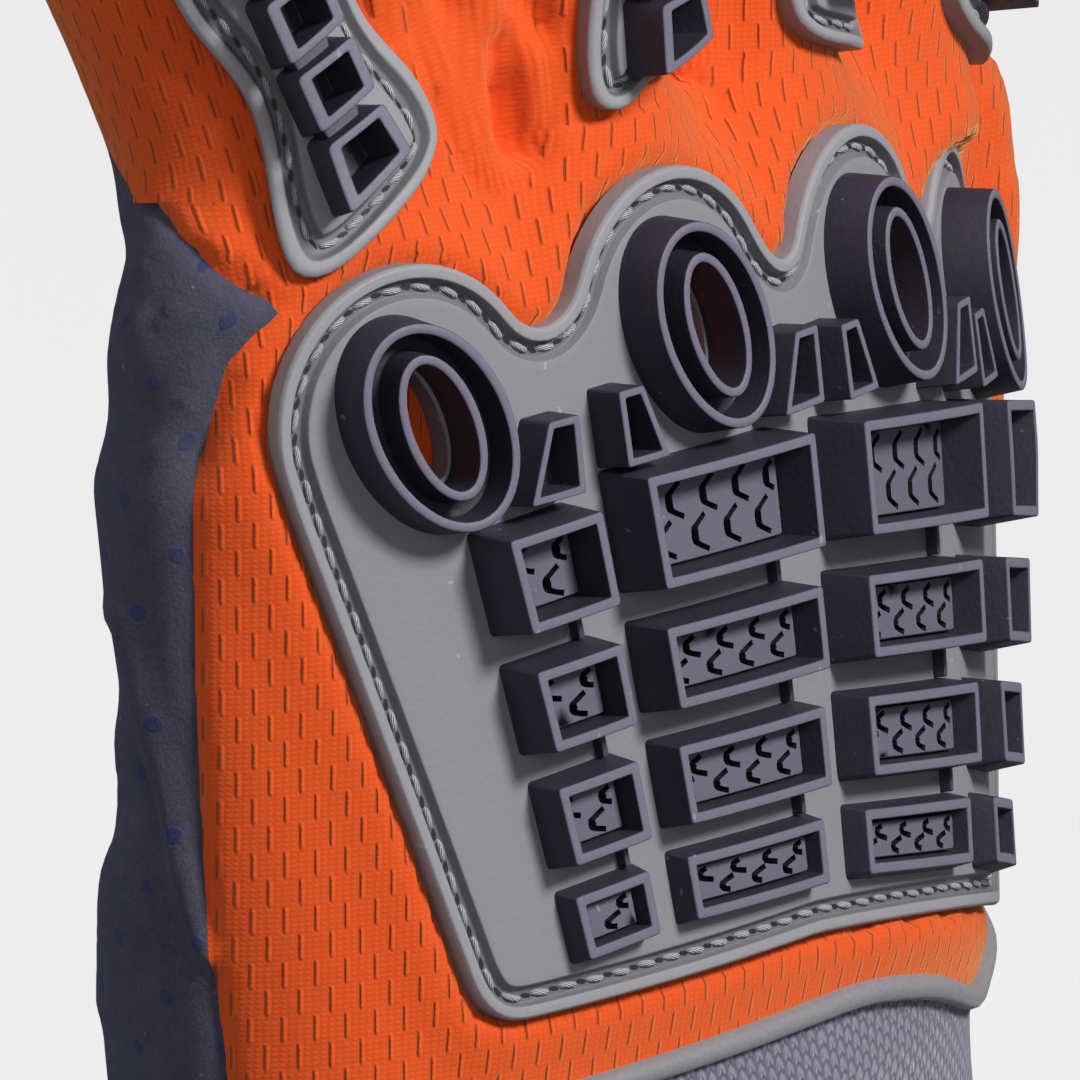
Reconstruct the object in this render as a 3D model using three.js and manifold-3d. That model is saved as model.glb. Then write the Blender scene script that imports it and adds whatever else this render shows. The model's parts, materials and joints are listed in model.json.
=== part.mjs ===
// A left-hand impact glove, held in the form it has on a hand.
// Millimetres. The back of the hand faces -Y, the fingertips point to +Z and the index side is +X.
// The origin is the centre of the wrist opening.
import * as THREE from 'three';
import { mergeVertices } from 'three/addons/utils/BufferGeometryUtils.js';
import Module from 'manifold-3d';

const wasm = await Module();
wasm.setup();

// Driving dimensions
const KNUCKLE_Z = 110;        // knuckle level above the wrist hem
const CREST_Y = -21;          // the crest of the guard's face, in front of the wrist centre
const BEND = 0.594;           // degrees that the hand back turns for each mm across
const BEND_CUBED = 5.18e-5;   // extra turn near the edges, degrees per cubic mm
const FABRIC_DEPTH = 1.9;     // from the guard's face down to the outside of the fabric
const WALL = 1.8;             // padded knit
const GAP = 0.3;              // between neighbouring pieces
const SEAM = 0.15;            // each side of a seam between two panels

// Materials, one for each finish
const FINISH = {
  mesh: { color: 0xe8602a, roughness: 0.85, metalness: 0 },
  palm: { color: 0x34353f, roughness: 0.95, metalness: 0 },
  cuff: { color: 0x8f8c9f, roughness: 0.9, metalness: 0 },
  binding: { color: 0x7d7c80, roughness: 0.7, metalness: 0 },
  base: { color: 0x949498, roughness: 0.6, metalness: 0 },
  rubber: { color: 0x37343f, roughness: 0.65, metalness: 0 },
};

const glove = new THREE.Group();

function add(name, solid, finish) {
  const data = solid.getMesh();
  const stride = data.numProp;
  const places = new Float32Array(data.numVert * 3);
  for (let i = 0; i < data.numVert; i += 1) {
    places.set(data.vertProperties.subarray(i * stride, i * stride + 3), i * 3);
  }
  const geometry = new THREE.BufferGeometry();
  geometry.setAttribute('position', new THREE.BufferAttribute(places, 3));
  geometry.setIndex(new THREE.BufferAttribute(new Uint32Array(data.triVerts), 1));
  const mesh = new THREE.Mesh(geometry, new THREE.MeshStandardMaterial(FINISH[finish]));
  mesh.name = name;
  glove.add(mesh);
}

// A list of triangles, each three points, as a closed solid
function solidOf(triangles) {
  const raw = new THREE.BufferGeometry();
  raw.setAttribute('position', new THREE.Float32BufferAttribute(triangles.flatMap((p) => [p.x, p.y, p.z]), 3));
  const merged = mergeVertices(raw, 1e-3);
  const index = Array.from(merged.index.array);
  const kept = [];
  for (let i = 0; i < index.length; i += 3) {
    const [a, b, c] = index.slice(i, i + 3);
    if (a !== b && b !== c && c !== a) kept.push(a, b, c);
  }
  return new wasm.Manifold(new wasm.Mesh({
    numProp: 3,
    vertProperties: merged.attributes.position.array,
    triVerts: new Uint32Array(kept),
  }));
}

function facingOut(triangles) {
  const solid = solidOf(triangles);
  if (solid.volume() > 0) return solid;
  const turned = [];
  for (let i = 0; i < triangles.length; i += 3) turned.push(triangles[i], triangles[i + 2], triangles[i + 1]);
  return solidOf(turned);
}

// Skins the band between two loops of the same length
function band(triangles, low, high) {
  low.forEach((a, i) => {
    const j = (i + 1) % low.length;
    triangles.push(a, low[j], high[j], a, high[j], high[i]);
  });
}

// Loops of points, closed at both ends by fans about their middles
function loft(loops) {
  const triangles = [];
  for (let i = 1; i < loops.length; i += 1) band(triangles, loops[i - 1], loops[i]);
  [[loops[0], true], [loops.at(-1), false]].forEach(([loop, first]) => {
    const middle = loop.reduce((sum, p) => sum.add(p), new THREE.Vector3()).divideScalar(loop.length);
    loop.forEach((a, i) => {
      const b = loop[(i + 1) % loop.length];
      if (first) triangles.push(middle, b, a);
      else triangles.push(middle, a, b);
    });
  });
  return facingOut(triangles);
}

const union = (solids) => solids.reduce((all, one) => all.add(one));
const mix = (a, b, t) => a + (b - a) * t;
const smooth = (t) => {
  const s = THREE.MathUtils.clamp(t, 0, 1);
  return s * s * (3 - 2 * s);
};

// A value read from a table whose rows run from low to high in the column `key`
function read(table, key, at, column) {
  if (at <= table[0][key]) return table[0][column];
  for (let i = 1; i < table.length; i += 1) {
    const [a, b] = [table[i - 1], table[i]];
    if (at <= b[key]) return mix(a[column], b[column], (at - a[key]) / (b[key] - a[key]));
  }
  return table.at(-1)[column];
}

// The back of the hand: straight along Z, bent across. u runs across it and v along it.
const ARC_STEP = 0.5;
const ARC_REACH = 70;
const bendAngle = (u) => THREE.MathUtils.degToRad(BEND * u + BEND_CUBED * u ** 3);
const arcPlaces = [{ x: 0, y: 0 }];
for (let u = 0; u < ARC_REACH; u += ARC_STEP) {
  const last = arcPlaces.at(-1);
  const angle = bendAngle(u + ARC_STEP / 2);
  arcPlaces.push({ x: last.x + Math.cos(angle) * ARC_STEP, y: last.y + Math.sin(angle) * ARC_STEP });
}

function arcPoint(u) {
  const at = Math.abs(u) / ARC_STEP;
  const i = Math.min(Math.floor(at), arcPlaces.length - 2);
  const x = mix(arcPlaces[i].x, arcPlaces[i + 1].x, at - i);
  const y = mix(arcPlaces[i].y, arcPlaces[i + 1].y, at - i);
  return { x: Math.sign(u) * x, y };
}

// Below this level the index side sinks evenly towards the wrist
const SINK = { slope: 0.09, from: 20, run: 20, level: -8 };
const SINK_WAY = new THREE.Vector2(-0.56, 0.83);

function onBack(u, v, height) {
  const place = arcPoint(u);
  const angle = bendAngle(u);
  const sink = SINK.slope * Math.max(0, SINK.level - v) * smooth((u - SINK.from) / SINK.run);
  return new THREE.Vector3(
    place.x + height * Math.sin(angle) + sink * SINK_WAY.x,
    CREST_Y + place.y - height * Math.cos(angle) + sink * SINK_WAY.y,
    KNUCKLE_Z + v,
  );
}

// Sections of the hand from the wrist seam to the finger roots
const HAND = [
  { v: -46, little: 36.0, littleRound: 15.0, indexRound: 14, bulge: -1.2, depth: 39.5 },
  { v: -32, little: 38.5, littleRound: 13.5, indexRound: 14, bulge: -0.8, depth: 39 },
  { v: -20, little: 41.0, littleRound: 11.2, indexRound: 13, bulge: 1.0, depth: 37 },
  { v: -8, little: 43.0, littleRound: 8.8, indexRound: 12, bulge: 2.8, depth: 35 },
  { v: 6, little: 43.5, littleRound: 8.3, indexRound: 11, bulge: 5.0, depth: 32 },
  { v: 20, little: 40.0, littleRound: 6.5, indexRound: 9, bulge: 6.4, depth: 27 },
];
const BULGE_WAY = new THREE.Vector2(0.56, -0.83);
const BULGE_RUN = 5;
const EDGE_TURN = THREE.MathUtils.degToRad(118);
const BACK_STEPS = 10;
const EDGE_STEPS = 4;
const PALM_STEPS = 5;
const CROWN = 3.6;             // the webs between the fingers above the last section
const GUARD_EDGE = { top: -0.5, bottom: -36.5, topU: 46.6, bottomU: 38.6 };
const guardEdge = (v) => mix(
  GUARD_EDGE.bottomU,
  GUARD_EDGE.topU,
  THREE.MathUtils.clamp((v - GUARD_EDGE.bottom) / (GUARD_EDGE.top - GUARD_EDGE.bottom), 0, 1),
);

// One closed outline of the hand at level v, `inset` inside the fabric.
// The fabric lies flat under the guard and bulges just past its index side.
function handOutline(v, inset) {
  const value = (column) => read(HAND, 'v', v, column);
  const depth = FABRIC_DEPTH + inset;
  const little = value('little');
  const index = guardEdge(v);
  const bulge = value('bulge');
  const outline = [];
  const backPoint = (u, share) => {
    const place = onBack(u, v, -depth);
    outline.push(new THREE.Vector2(place.x, place.y).addScaledVector(BULGE_WAY, bulge * share));
  };
  for (let i = 0; i <= BACK_STEPS; i += 1) backPoint(mix(-little, index, i / BACK_STEPS), 0);
  backPoint(index + BULGE_RUN / 2, 0.5);
  backPoint(index + BULGE_RUN, 1);
  function edge(u, radius, way, shift) {
    const start = bendAngle(u);
    const rim = onBack(u, v, -FABRIC_DEPTH);
    const middle = new THREE.Vector2(rim.x - radius * Math.sin(start), rim.y + radius * Math.cos(start))
      .addScaledVector(BULGE_WAY, shift);
    const reach = radius - inset;
    return Array.from({ length: EDGE_STEPS }, (_, i) => {
      const angle = start + (way * EDGE_TURN * (i + 1)) / EDGE_STEPS;
      return new THREE.Vector2(middle.x + reach * Math.sin(angle), middle.y - reach * Math.cos(angle));
    });
  }
  const indexEdge = edge(index + BULGE_RUN, value('indexRound'), 1, bulge);
  const littleEdge = edge(-little, value('littleRound'), -1, 0);
  const from = indexEdge.at(-1);
  const to = littleEdge.at(-1);
  const deep = CREST_Y + value('depth') - inset;
  const palm = new THREE.CubicBezierCurve(
    from,
    new THREE.Vector2(mix(from.x, to.x, 0.25), deep + 2),
    new THREE.Vector2(mix(from.x, to.x, 0.75), deep + 1),
    to,
  );
  outline.push(...indexEdge);
  for (let i = 1; i < PALM_STEPS; i += 1) outline.push(palm.getPoint(i / PALM_STEPS));
  outline.push(...littleEdge.reverse());
  return outline;
}

// The cuff narrows from the hand to the wrist and opens a little at its hem
const CUFF = [
  { z: 0, halfWidth: 37.5, halfDepth: 27, hand: 0 },
  { z: 22, halfWidth: 35.5, halfDepth: 24.5, hand: 0 },
  { z: 42, halfWidth: 34.5, halfDepth: 22, hand: 0.35 },
  { z: 58, halfWidth: 34.5, halfDepth: 20, hand: 0.8 },
  { z: 66, halfWidth: 34.5, halfDepth: 20, hand: 1 },
];

function bodyOutline(z, inset) {
  const top = CUFF.at(-1).z;
  const hand = handOutline(Math.max(z, top) - KNUCKLE_Z, inset);
  if (z >= top) return hand.map((p) => new THREE.Vector3(p.x, p.y, z));
  const share = read(CUFF, 'z', z, 'hand');
  const wide = read(CUFF, 'z', z, 'halfWidth') - inset;
  const deep = read(CUFF, 'z', z, 'halfDepth') - inset;
  return hand.map((p) => {
    const angle = Math.atan2(p.y / deep, p.x / wide);
    return new THREE.Vector3(mix(wide * Math.cos(angle), p.x, share), mix(deep * Math.sin(angle), p.y, share), z);
  });
}

// The hand and cuff as one closed body; a positive reach carries it past the hem
function bodySolid(inset, reach) {
  const levels = [-reach, ...CUFF.slice(1, -1).map((row) => row.z), ...HAND.map((row) => KNUCKLE_Z + row.v)];
  const loops = levels.map((z) => bodyOutline(z, inset));
  const crown = loops.at(-1);
  const middle = crown.reduce((sum, p) => sum.add(p), new THREE.Vector3()).divideScalar(crown.length);
  const lift = CROWN - inset;
  loops.push(crown.map((p) => new THREE.Vector3(mix(middle.x, p.x, 0.92), mix(middle.y, p.y, 0.55), p.z + lift)));
  return loft(loops);
}

// Fingers. root is the place across the hand where a finger leaves it, lean is on the hand back,
// rise is out of it, bend is the curl towards the palm at each joint, and length is the free part.
const FINGERS = [
  { name: 'little', root: -33.8, lean: -14, rise: 0, radius: 9.7, length: 58, bend: [8, 14, 8] },
  { name: 'ring', root: -8.2, lean: -1, rise: 1, radius: 10.4, length: 73, bend: [0, 14, 9] },
  { name: 'middle', root: 16.3, lean: 5, rise: 2, radius: 10.5, length: 82, bend: [0, 12, 8] },
  { name: 'index', root: 40.4, lean: 11, rise: 14, radius: 10.6, length: 72, bend: [10, 12, 8] },
];
const FINGER_START = -6;      // the finger tubes start inside the hand, at this level
const ROOT_LEVEL = 24;        // where the fingers leave the hand
const ROOT_LENGTH = ROOT_LEVEL - FINGER_START;
const RISE_SHARE = 0.6;       // share of the root length where a rising finger crosses the hand back
const JOINTS = [0.26, 0.56, 0.8];
const TIP_TAPER = 0.86;
const TUBE_SIDES = 10;
const TUBE_STEP = 17;
const SPINE_STEP = 2;
const PANEL_EDGE = 0.45;      // how far below a finger's middle its palm fabric starts, in radii

const fullLength = (finger) => finger.length + ROOT_LENGTH;
const radiusAt = (finger, at) => finger.radius * mix(1, TIP_TAPER, at / fullLength(finger));

// The line up the middle of a finger, with its ways along, across and out of its back
function spineOf(finger) {
  const angle = bendAngle(finger.root);
  const out = new THREE.Vector3(Math.sin(angle), -Math.cos(angle), 0);
  const level = new THREE.Vector3(Math.cos(angle), Math.sin(angle), 0);
  const lean = THREE.MathUtils.degToRad(finger.lean);
  const along = new THREE.Vector3(0, 0, Math.cos(lean)).addScaledVector(level, Math.sin(lean));
  const rise = new THREE.Quaternion().setFromAxisAngle(
    new THREE.Vector3().crossVectors(along, out),
    THREE.MathUtils.degToRad(finger.rise),
  );
  along.applyQuaternion(rise);
  out.applyQuaternion(rise);
  const across = new THREE.Vector3().crossVectors(along, out);
  const middle = onBack(finger.root, FINGER_START, -FABRIC_DEPTH - finger.radius)
    .addScaledVector(level, -ROOT_LENGTH * Math.tan(lean))
    .addScaledVector(out, -RISE_SHARE * ROOT_LENGTH * Math.tan(THREE.MathUtils.degToRad(finger.rise)));
  const full = fullLength(finger);
  const spread = 0.12 * full;
  const spine = [];
  for (let at = 0; at <= full + 12; at += SPINE_STEP) {
    spine.push({ middle: middle.clone(), along: along.clone(), across: across.clone(), out: out.clone() });
    const curl = JOINTS.reduce((sum, joint, k) => {
      const share = Math.max(0, 1 - Math.abs(at + SPINE_STEP / 2 - joint * full) / spread);
      return sum + (finger.bend[k] * share * SPINE_STEP) / spread;
    }, 0);
    const turn = new THREE.Quaternion().setFromAxisAngle(across, THREE.MathUtils.degToRad(-curl));
    middle.addScaledVector(along, SPINE_STEP / 2);
    along.applyQuaternion(turn);
    out.applyQuaternion(turn);
    middle.addScaledVector(along, SPINE_STEP / 2);
  }
  return spine;
}
const SPINES = new Map(FINGERS.map((finger) => [finger, spineOf(finger)]));

function frameAt(finger, at) {
  const spine = SPINES.get(finger);
  const place = THREE.MathUtils.clamp(at / SPINE_STEP, 0, spine.length - 1.001);
  const i = Math.floor(place);
  const [a, b, share] = [spine[i], spine[i + 1], place - i];
  return {
    middle: a.middle.clone().lerp(b.middle, share),
    along: a.along.clone().lerp(b.along, share).normalize(),
    across: a.across.clone(),
    out: a.out.clone().lerp(b.out, share).normalize(),
  };
}

// A point beside a frame's middle
const beside = (frame, across, out, along = 0) => frame.middle.clone()
  .addScaledVector(frame.across, across)
  .addScaledVector(frame.out, out)
  .addScaledVector(frame.along, along);

const circle = (frame, radius, along = 0) => Array.from({ length: TUBE_SIDES }, (_, i) => {
  const angle = (2 * Math.PI * i) / TUBE_SIDES;
  return beside(frame, radius * Math.sin(angle), radius * Math.cos(angle), along);
});

// A round tube through the given frames with a domed end, `inset` inside the fabric
function tube(rows, inset) {
  const loops = rows.map((row) => circle(row.frame, row.radius - inset));
  const last = rows.at(-1);
  [35, 68].forEach((degrees) => {
    const angle = THREE.MathUtils.degToRad(degrees);
    const reach = last.radius - inset;
    loops.push(circle(last.frame, reach * Math.cos(angle), reach * Math.sin(angle)));
  });
  return loft(loops);
}

function fingerSolid(finger, inset) {
  const end = fullLength(finger) - radiusAt(finger, fullLength(finger));
  const count = Math.round(end / TUBE_STEP);
  const rows = Array.from({ length: count + 1 }, (_, i) => {
    const at = (end * i) / count;
    return { frame: frameAt(finger, at), radius: radiusAt(finger, at) };
  });
  return tube(rows, inset);
}

// A long block through the given frames, from one distance out of the middle to another
function longBlock(frames, low, high) {
  const wide = 40;
  return loft(frames.map((frame) => [
    beside(frame, -wide, low), beside(frame, wide, low), beside(frame, wide, high), beside(frame, -wide, high),
  ]));
}

const THUMB = {
  start: new THREE.Vector3(24, 2, 62),
  end: new THREE.Vector3(63, 38, 121),
  out: new THREE.Vector3(0.62, -0.78, 0).normalize(),
  radii: [9.5, 12.4, 13.4, 13.2, 12.7, 12.1, 11.3],
  root: 38,
  bend: 16,
};

function thumbRows() {
  const along = THUMB.end.clone().sub(THUMB.start).normalize();
  const across = new THREE.Vector3().crossVectors(along, THUMB.out).normalize();
  const out = new THREE.Vector3().crossVectors(across, along).normalize();
  const length = THUMB.end.distanceTo(THUMB.start);
  const middle = THUMB.start.clone();
  const rows = [];
  const steps = THUMB.radii.length - 1;
  const turn = new THREE.Quaternion().setFromAxisAngle(across, THREE.MathUtils.degToRad(-THUMB.bend / steps));
  THUMB.radii.forEach((radius) => {
    const frame = { middle: middle.clone(), along: along.clone(), across: across.clone(), out: out.clone() };
    rows.push({ frame, radius });
    middle.addScaledVector(along, length / steps);
    along.applyQuaternion(turn);
    out.applyQuaternion(turn);
  });
  return rows;
}

// Everything past a plane across the thumb
function pastThumbRoot(at) {
  const frame = thumbRows()[0].frame;
  const corners = (along) => [[-60, -60], [60, -60], [60, 60], [-60, 60]].map(([a, b]) => beside(frame, a, b, along));
  return loft([corners(at), corners(at + 120)]);
}

// A closed block between two sheets that share one grid in x and in one other way
function sheetBlock(rows) {
  const triangles = [];
  const [height, width] = [rows.length, rows[0].length];
  const quad = (a, b, c, d) => triangles.push(a, b, c, a, c, d);
  for (let i = 0; i + 1 < height; i += 1) {
    for (let j = 0; j + 1 < width; j += 1) {
      const [p, q, r, s] = [rows[i][j], rows[i][j + 1], rows[i + 1][j + 1], rows[i + 1][j]];
      quad(p.near, q.near, r.near, s.near);
      quad(s.far, r.far, q.far, p.far);
    }
    const [p, q] = [rows[i][0], rows[i + 1][0]];
    const [r, s] = [rows[i][width - 1], rows[i + 1][width - 1]];
    quad(p.near, q.near, q.far, p.far);
    quad(s.near, r.near, r.far, s.far);
  }
  for (let j = 0; j + 1 < width; j += 1) {
    const [p, q] = [rows[0][j], rows[0][j + 1]];
    const [r, s] = [rows[height - 1][j], rows[height - 1][j + 1]];
    quad(q.near, p.near, p.far, q.far);
    quad(r.near, s.near, s.far, r.far);
  }
  return facingOut(triangles);
}

const list = (from, to, count) => Array.from({ length: count + 1 }, (_, i) => mix(from, to, i / count));

// The block on one side of a sheet y = depth(x, z), out to `far`
function sideBlock(depth, far, levels) {
  return sheetBlock(levels.map((z) => SEAM_XS.map((x) => ({
    near: new THREE.Vector3(x, depth(x, z), z),
    far: new THREE.Vector3(x, far, z),
  }))));
}

// The block between two sheets z = low(x, y) and z = high(x, y)
function levelBlock(low, high) {
  return sheetBlock([-80, -10, -5, 0, 80].map((y) => CUFF_XS.map((x) => ({
    near: new THREE.Vector3(x, y, low(x, y)),
    far: new THREE.Vector3(x, y, high(x, y)),
  }))));
}

// Where the mesh fabric meets the palm fabric, as a depth behind the crest of the hand back
const PALM_SEAM = [
  { v: -46, little: 20.5 },
  { v: -18, little: 19 },
  { v: -8, little: 17.9 },
  { v: 8, little: 15.9 },
  { v: 14, little: 13.8 },
  { v: 17, little: 11.2 },
  { v: 20, little: 14 },
  { v: 27, little: 19 },
];
const INDEX_SEAM = 25;
const SEAM_XS = [-90, -38, -14, 10, 32, 90];
const SEAM_LEVELS = [60, 92, 102, 118, 124, 127, 130, 137, 150].map((z) => z + KNUCKLE_Z - 110);
const seamDepth = (x, z) => {
  const little = read(PALM_SEAM, 'v', z - KNUCKLE_Z, 'little');
  return CREST_Y + mix(little, INDEX_SEAM, smooth((x + 38) / 70));
};

// The seam between the mesh and the cuff dips once on the back of the hand
const CUFF_LEVEL = -38.6;
const CUFF_STEP = 2.2;
const CUFF_DIP = { x: 16.5, half: 7, deep: 3.0 };
const CUFF_XS = [-80, -40, -4, 4, 9, 13, 17, 21, 26, 32, 80];
const cuffSeam = (x, y) => {
  const dip = CUFF_DIP.deep * Math.exp(-(((x - CUFF_DIP.x) / CUFF_DIP.half) ** 2));
  return KNUCKLE_Z + CUFF_LEVEL - smooth(-y / 10) * (CUFF_STEP * smooth((x - 2) / 18) + dip);
};

const largest = (solid) => solid.decompose().sort((a, b) => b.volume() - a.volume())[0];

function buildFabric() {
  const rootCut = KNUCKLE_Z + ROOT_LEVEL;
  const underRoots = levelBlock(() => -50, () => rootCut);
  const thumbShell = tube(thumbRows(), 0);
  const outer = union([
    bodySolid(0, 0),
    ...FINGERS.map((finger) => fingerSolid(finger, 0)),
    thumbShell.subtract(pastThumbRoot(THUMB.root)),
  ]).intersect(underRoots);
  const inner = union([
    bodySolid(WALL, 2),
    ...FINGERS.map((finger) => fingerSolid(finger, WALL)),
    tube(thumbRows(), WALL),
  ]);
  const shell = outer.subtract(inner);
  add('cuff', largest(shell.intersect(levelBlock(() => -10, (x, y) => cuffSeam(x, y) - SEAM))), 'cuff');
  const hand = shell.intersect(levelBlock((x, y) => cuffSeam(x, y) + SEAM, () => 240));
  const back = sideBlock((x, z) => seamDepth(x, z) - SEAM, -90, SEAM_LEVELS);
  const palm = sideBlock((x, z) => seamDepth(x, z) + SEAM, 90, SEAM_LEVELS);
  add('back_panel', largest(hand.intersect(back)), 'mesh');
  add('palm_panel', largest(hand.intersect(palm)), 'palm');
}

// Each finger has a mesh back with its sides, and a front of palm fabric
function buildFingers() {
  const overRoots = levelBlock(() => KNUCKLE_Z + ROOT_LEVEL + GAP, () => 260);
  FINGERS.forEach((finger) => {
    const shell = fingerSolid(finger, 0).subtract(fingerSolid(finger, WALL)).intersect(overRoots);
    const frames = list(0, fullLength(finger) + 6, 7).map((at) => frameAt(finger, at));
    const edge = -PANEL_EDGE * finger.radius;
    add(`${finger.name}_finger_back`, largest(shell.intersect(longBlock(frames, edge + SEAM, 40))), 'mesh');
    add(`${finger.name}_finger_front`, largest(shell.intersect(longBlock(frames, -40, edge - SEAM))), 'palm');
  });
  const frames = thumbRows().map((row) => row.frame);
  const last = frames.at(-1);
  frames.push({ ...last, middle: beside(last, 0, 0, 20) });
  const thumb = tube(thumbRows(), 0)
    .subtract(tube(thumbRows(), WALL))
    .intersect(pastThumbRoot(THUMB.root + GAP))
    .subtract(bodySolid(-GAP, 0));
  add('thumb_back', largest(thumb.intersect(longBlock(frames, SEAM, 40))), 'mesh');
  add('thumb_front', largest(thumb.intersect(longBlock(frames, -40, -SEAM))), 'palm');
}

// The tape over the seam between mesh and cuff
const TAPE_WIDTH = 1.5;
const TAPE_THICK = 0.9;
const TAPE_LIFT = 0.35;

function buildBinding() {
  const grown = (by, reach) => bodySolid(-by, reach).add(tube(thumbRows(), -by));
  const ring = grown(TAPE_LIFT + TAPE_THICK, 0).subtract(grown(TAPE_LIFT, 2));
  const half = TAPE_WIDTH / 2;
  const level = levelBlock((x, y) => cuffSeam(x, y) - half, (x, y) => cuffSeam(x, y) + half);
  add('cuff_binding', largest(ring.intersect(level)), 'binding');
}

// The guard is laid out flat. Its rows and columns fan out towards the fingers.
const FAN = 0.0064;           // growth of a column's distance from the middle, per mm along
const FAN_LEVEL = -10;
const LEAN = 0.043;
const ARCH = [-0.0953, -0.00261, 1.15e-5];

function laid(across, along) {
  const rise = along - FAN_LEVEL;
  return new THREE.Vector2(
    across * (1 + FAN * rise) + LEAN * rise,
    along + ARCH[0] * across + ARCH[1] * across ** 2 + ARCH[2] * across ** 3,
  );
}

// The two chains of a flat outline between its first and last corner in x
function chains(outline, first, last) {
  const walk = (step) => {
    const way = [first];
    while (way.at(-1) !== last) way.push((way.at(-1) + step + outline.length) % outline.length);
    return way;
  };
  return [walk(1), walk(-1)];
}

// Triangles between a lower and an upper chain of flat points, taken in order of x,
// so that each one stays narrow and follows the bend of the hand
function zipped(points, low, high) {
  const faces = [];
  let [i, j] = [0, 0];
  while (i + 1 < low.length || j + 1 < high.length) {
    const nextLow = i + 1 < low.length ? points[low[i + 1]].x : Infinity;
    const nextHigh = j + 1 < high.length ? points[high[j + 1]].x : Infinity;
    const face = nextLow <= nextHigh ? [low[i], low[i + 1], high[j]] : [high[j], low[i], high[j + 1]];
    if (nextLow <= nextHigh) i += 1;
    else j += 1;
    if (new Set(face).size === 3) faces.push(face);
  }
  return faces;
}

// A moulded piece on the hand back: loops of flat points at given heights, closed at both ends.
// ridge gives extra flat points from left to right across both ends.
function moulded(loops, ridge) {
  const triangles = [];
  const placed = loops.map((loop) => loop.flat.map((p) => onBack(p.x, p.y, loop.height)));
  for (let i = 1; i < placed.length; i += 1) band(triangles, placed[i - 1], placed[i]);
  [loops[0], loops.at(-1)].forEach((loop, k) => {
    const { flat, height } = loop;
    const points = [...flat];
    const order = flat.map((_, i) => i).sort((i, j) => flat[i].x - flat[j].x);
    let faces = [];
    if (ridge) {
      const near = (target) => order.reduce((best, i) => (
        flat[i].distanceTo(target) < flat[best].distanceTo(target) ? i : best));
      const [first, last] = [near(ridge[0]), near(ridge.at(-1))];
      const [low, high] = chains(flat, first, last);
      points.push(...ridge.slice(1, -1));
      const middle = [first, ...ridge.slice(1, -1).map((_, i) => flat.length + i), last];
      faces = [...zipped(points, low, middle), ...zipped(points, middle, high)];
    } else {
      const [low, high] = chains(flat, order[0], order.at(-1));
      faces = zipped(points, low, high);
    }
    const set = points.map((p) => onBack(p.x, p.y, height));
    faces.forEach(([a, b, c]) => triangles.push(set[a], k ? set[b] : set[c], k ? set[c] : set[b]));
  });
  return facingOut(triangles);
}

// A box outline between four corners, anticlockwise from the lower left, with its corners cut
// off and extra points along its lower and upper sides
function cutCorners(corners, cut, steps) {
  const points = [];
  corners.forEach((corner, i) => {
    const before = corners[(i + 3) % 4];
    const after = corners[(i + 1) % 4];
    points.push(corner.clone().lerp(before, cut / corner.distanceTo(before)));
    const from = corner.clone().lerp(after, cut / corner.distanceTo(after));
    const to = after.clone().lerp(corner, cut / after.distanceTo(corner));
    points.push(from);
    const pieces = i % 2 === 0 ? steps : 1;
    for (let k = 1; k < pieces; k += 1) points.push(from.clone().lerp(to, k / pieces));
  });
  return points;
}

function shrink(corners, by) {
  return corners.map((corner, i) => {
    const before = corners[(i + 3) % 4].clone().sub(corner).normalize();
    const after = corners[(i + 1) % 4].clone().sub(corner).normalize();
    return corner.clone().addScaledVector(before, by).addScaledVector(after, by);
  });
}

const RINGS = [
  { name: 'knuckle_ring_little', u: -33.2, v: 7.9 },
  { name: 'knuckle_ring_ring', u: -8.7, v: 9.6 },
  { name: 'knuckle_ring_middle', u: 15.1, v: 7.7 },
  { name: 'knuckle_ring_index', u: 36.6, v: 2.6 },
];
const RING_OUTER = { wide: 5.15, long: 7.55, tilt: 25 };
const RING_INNER = { wide: 2.85, long: 5.2, tilt: 17 };
const RING_HEIGHT = 3.15;
const RING_RIM = 0.65;
const RING_FLOOR = 0.8;
const RING_SIDES = 18;
const DRAFT = 0.4;

function oval(centre, half, grow, sides) {
  const tilt = THREE.MathUtils.degToRad(half.tilt);
  return Array.from({ length: sides }, (_, i) => {
    const angle = (2 * Math.PI * i) / sides;
    const x = (half.wide + grow) * Math.cos(angle);
    const y = (half.long + grow) * Math.sin(angle);
    return new THREE.Vector2(
      centre.u + x * Math.cos(tilt) - y * Math.sin(tilt),
      centre.v + x * Math.sin(tilt) + y * Math.cos(tilt),
    );
  });
}

// Knuckle ring: outer wall and rim, a trench, then an inner oval wall round an open hole
function buildRings() {
  const rows = [
    { half: RING_OUTER, grow: DRAFT, height: GAP },
    { half: RING_OUTER, grow: 0, height: RING_HEIGHT },
    { half: RING_OUTER, grow: -RING_RIM, height: RING_HEIGHT },
    { half: RING_OUTER, grow: -RING_RIM - 0.2, height: RING_FLOOR },
    { half: RING_INNER, grow: 0.2, height: RING_FLOOR },
    { half: RING_INNER, grow: 0, height: RING_HEIGHT },
    { half: RING_INNER, grow: -RING_RIM, height: RING_HEIGHT },
    { half: RING_INNER, grow: -RING_RIM - 0.15, height: GAP },
  ];
  RINGS.forEach((ring) => {
    const loops = rows.map((row) => oval(ring, row.half, row.grow, RING_SIDES).map((p) => onBack(p.x, p.y, row.height)));
    const triangles = [];
    loops.forEach((loop, i) => band(triangles, loop, loops[(i + 1) % loops.length]));
    add(ring.name, facingOut(triangles), 'rubber');
  });
}

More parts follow.
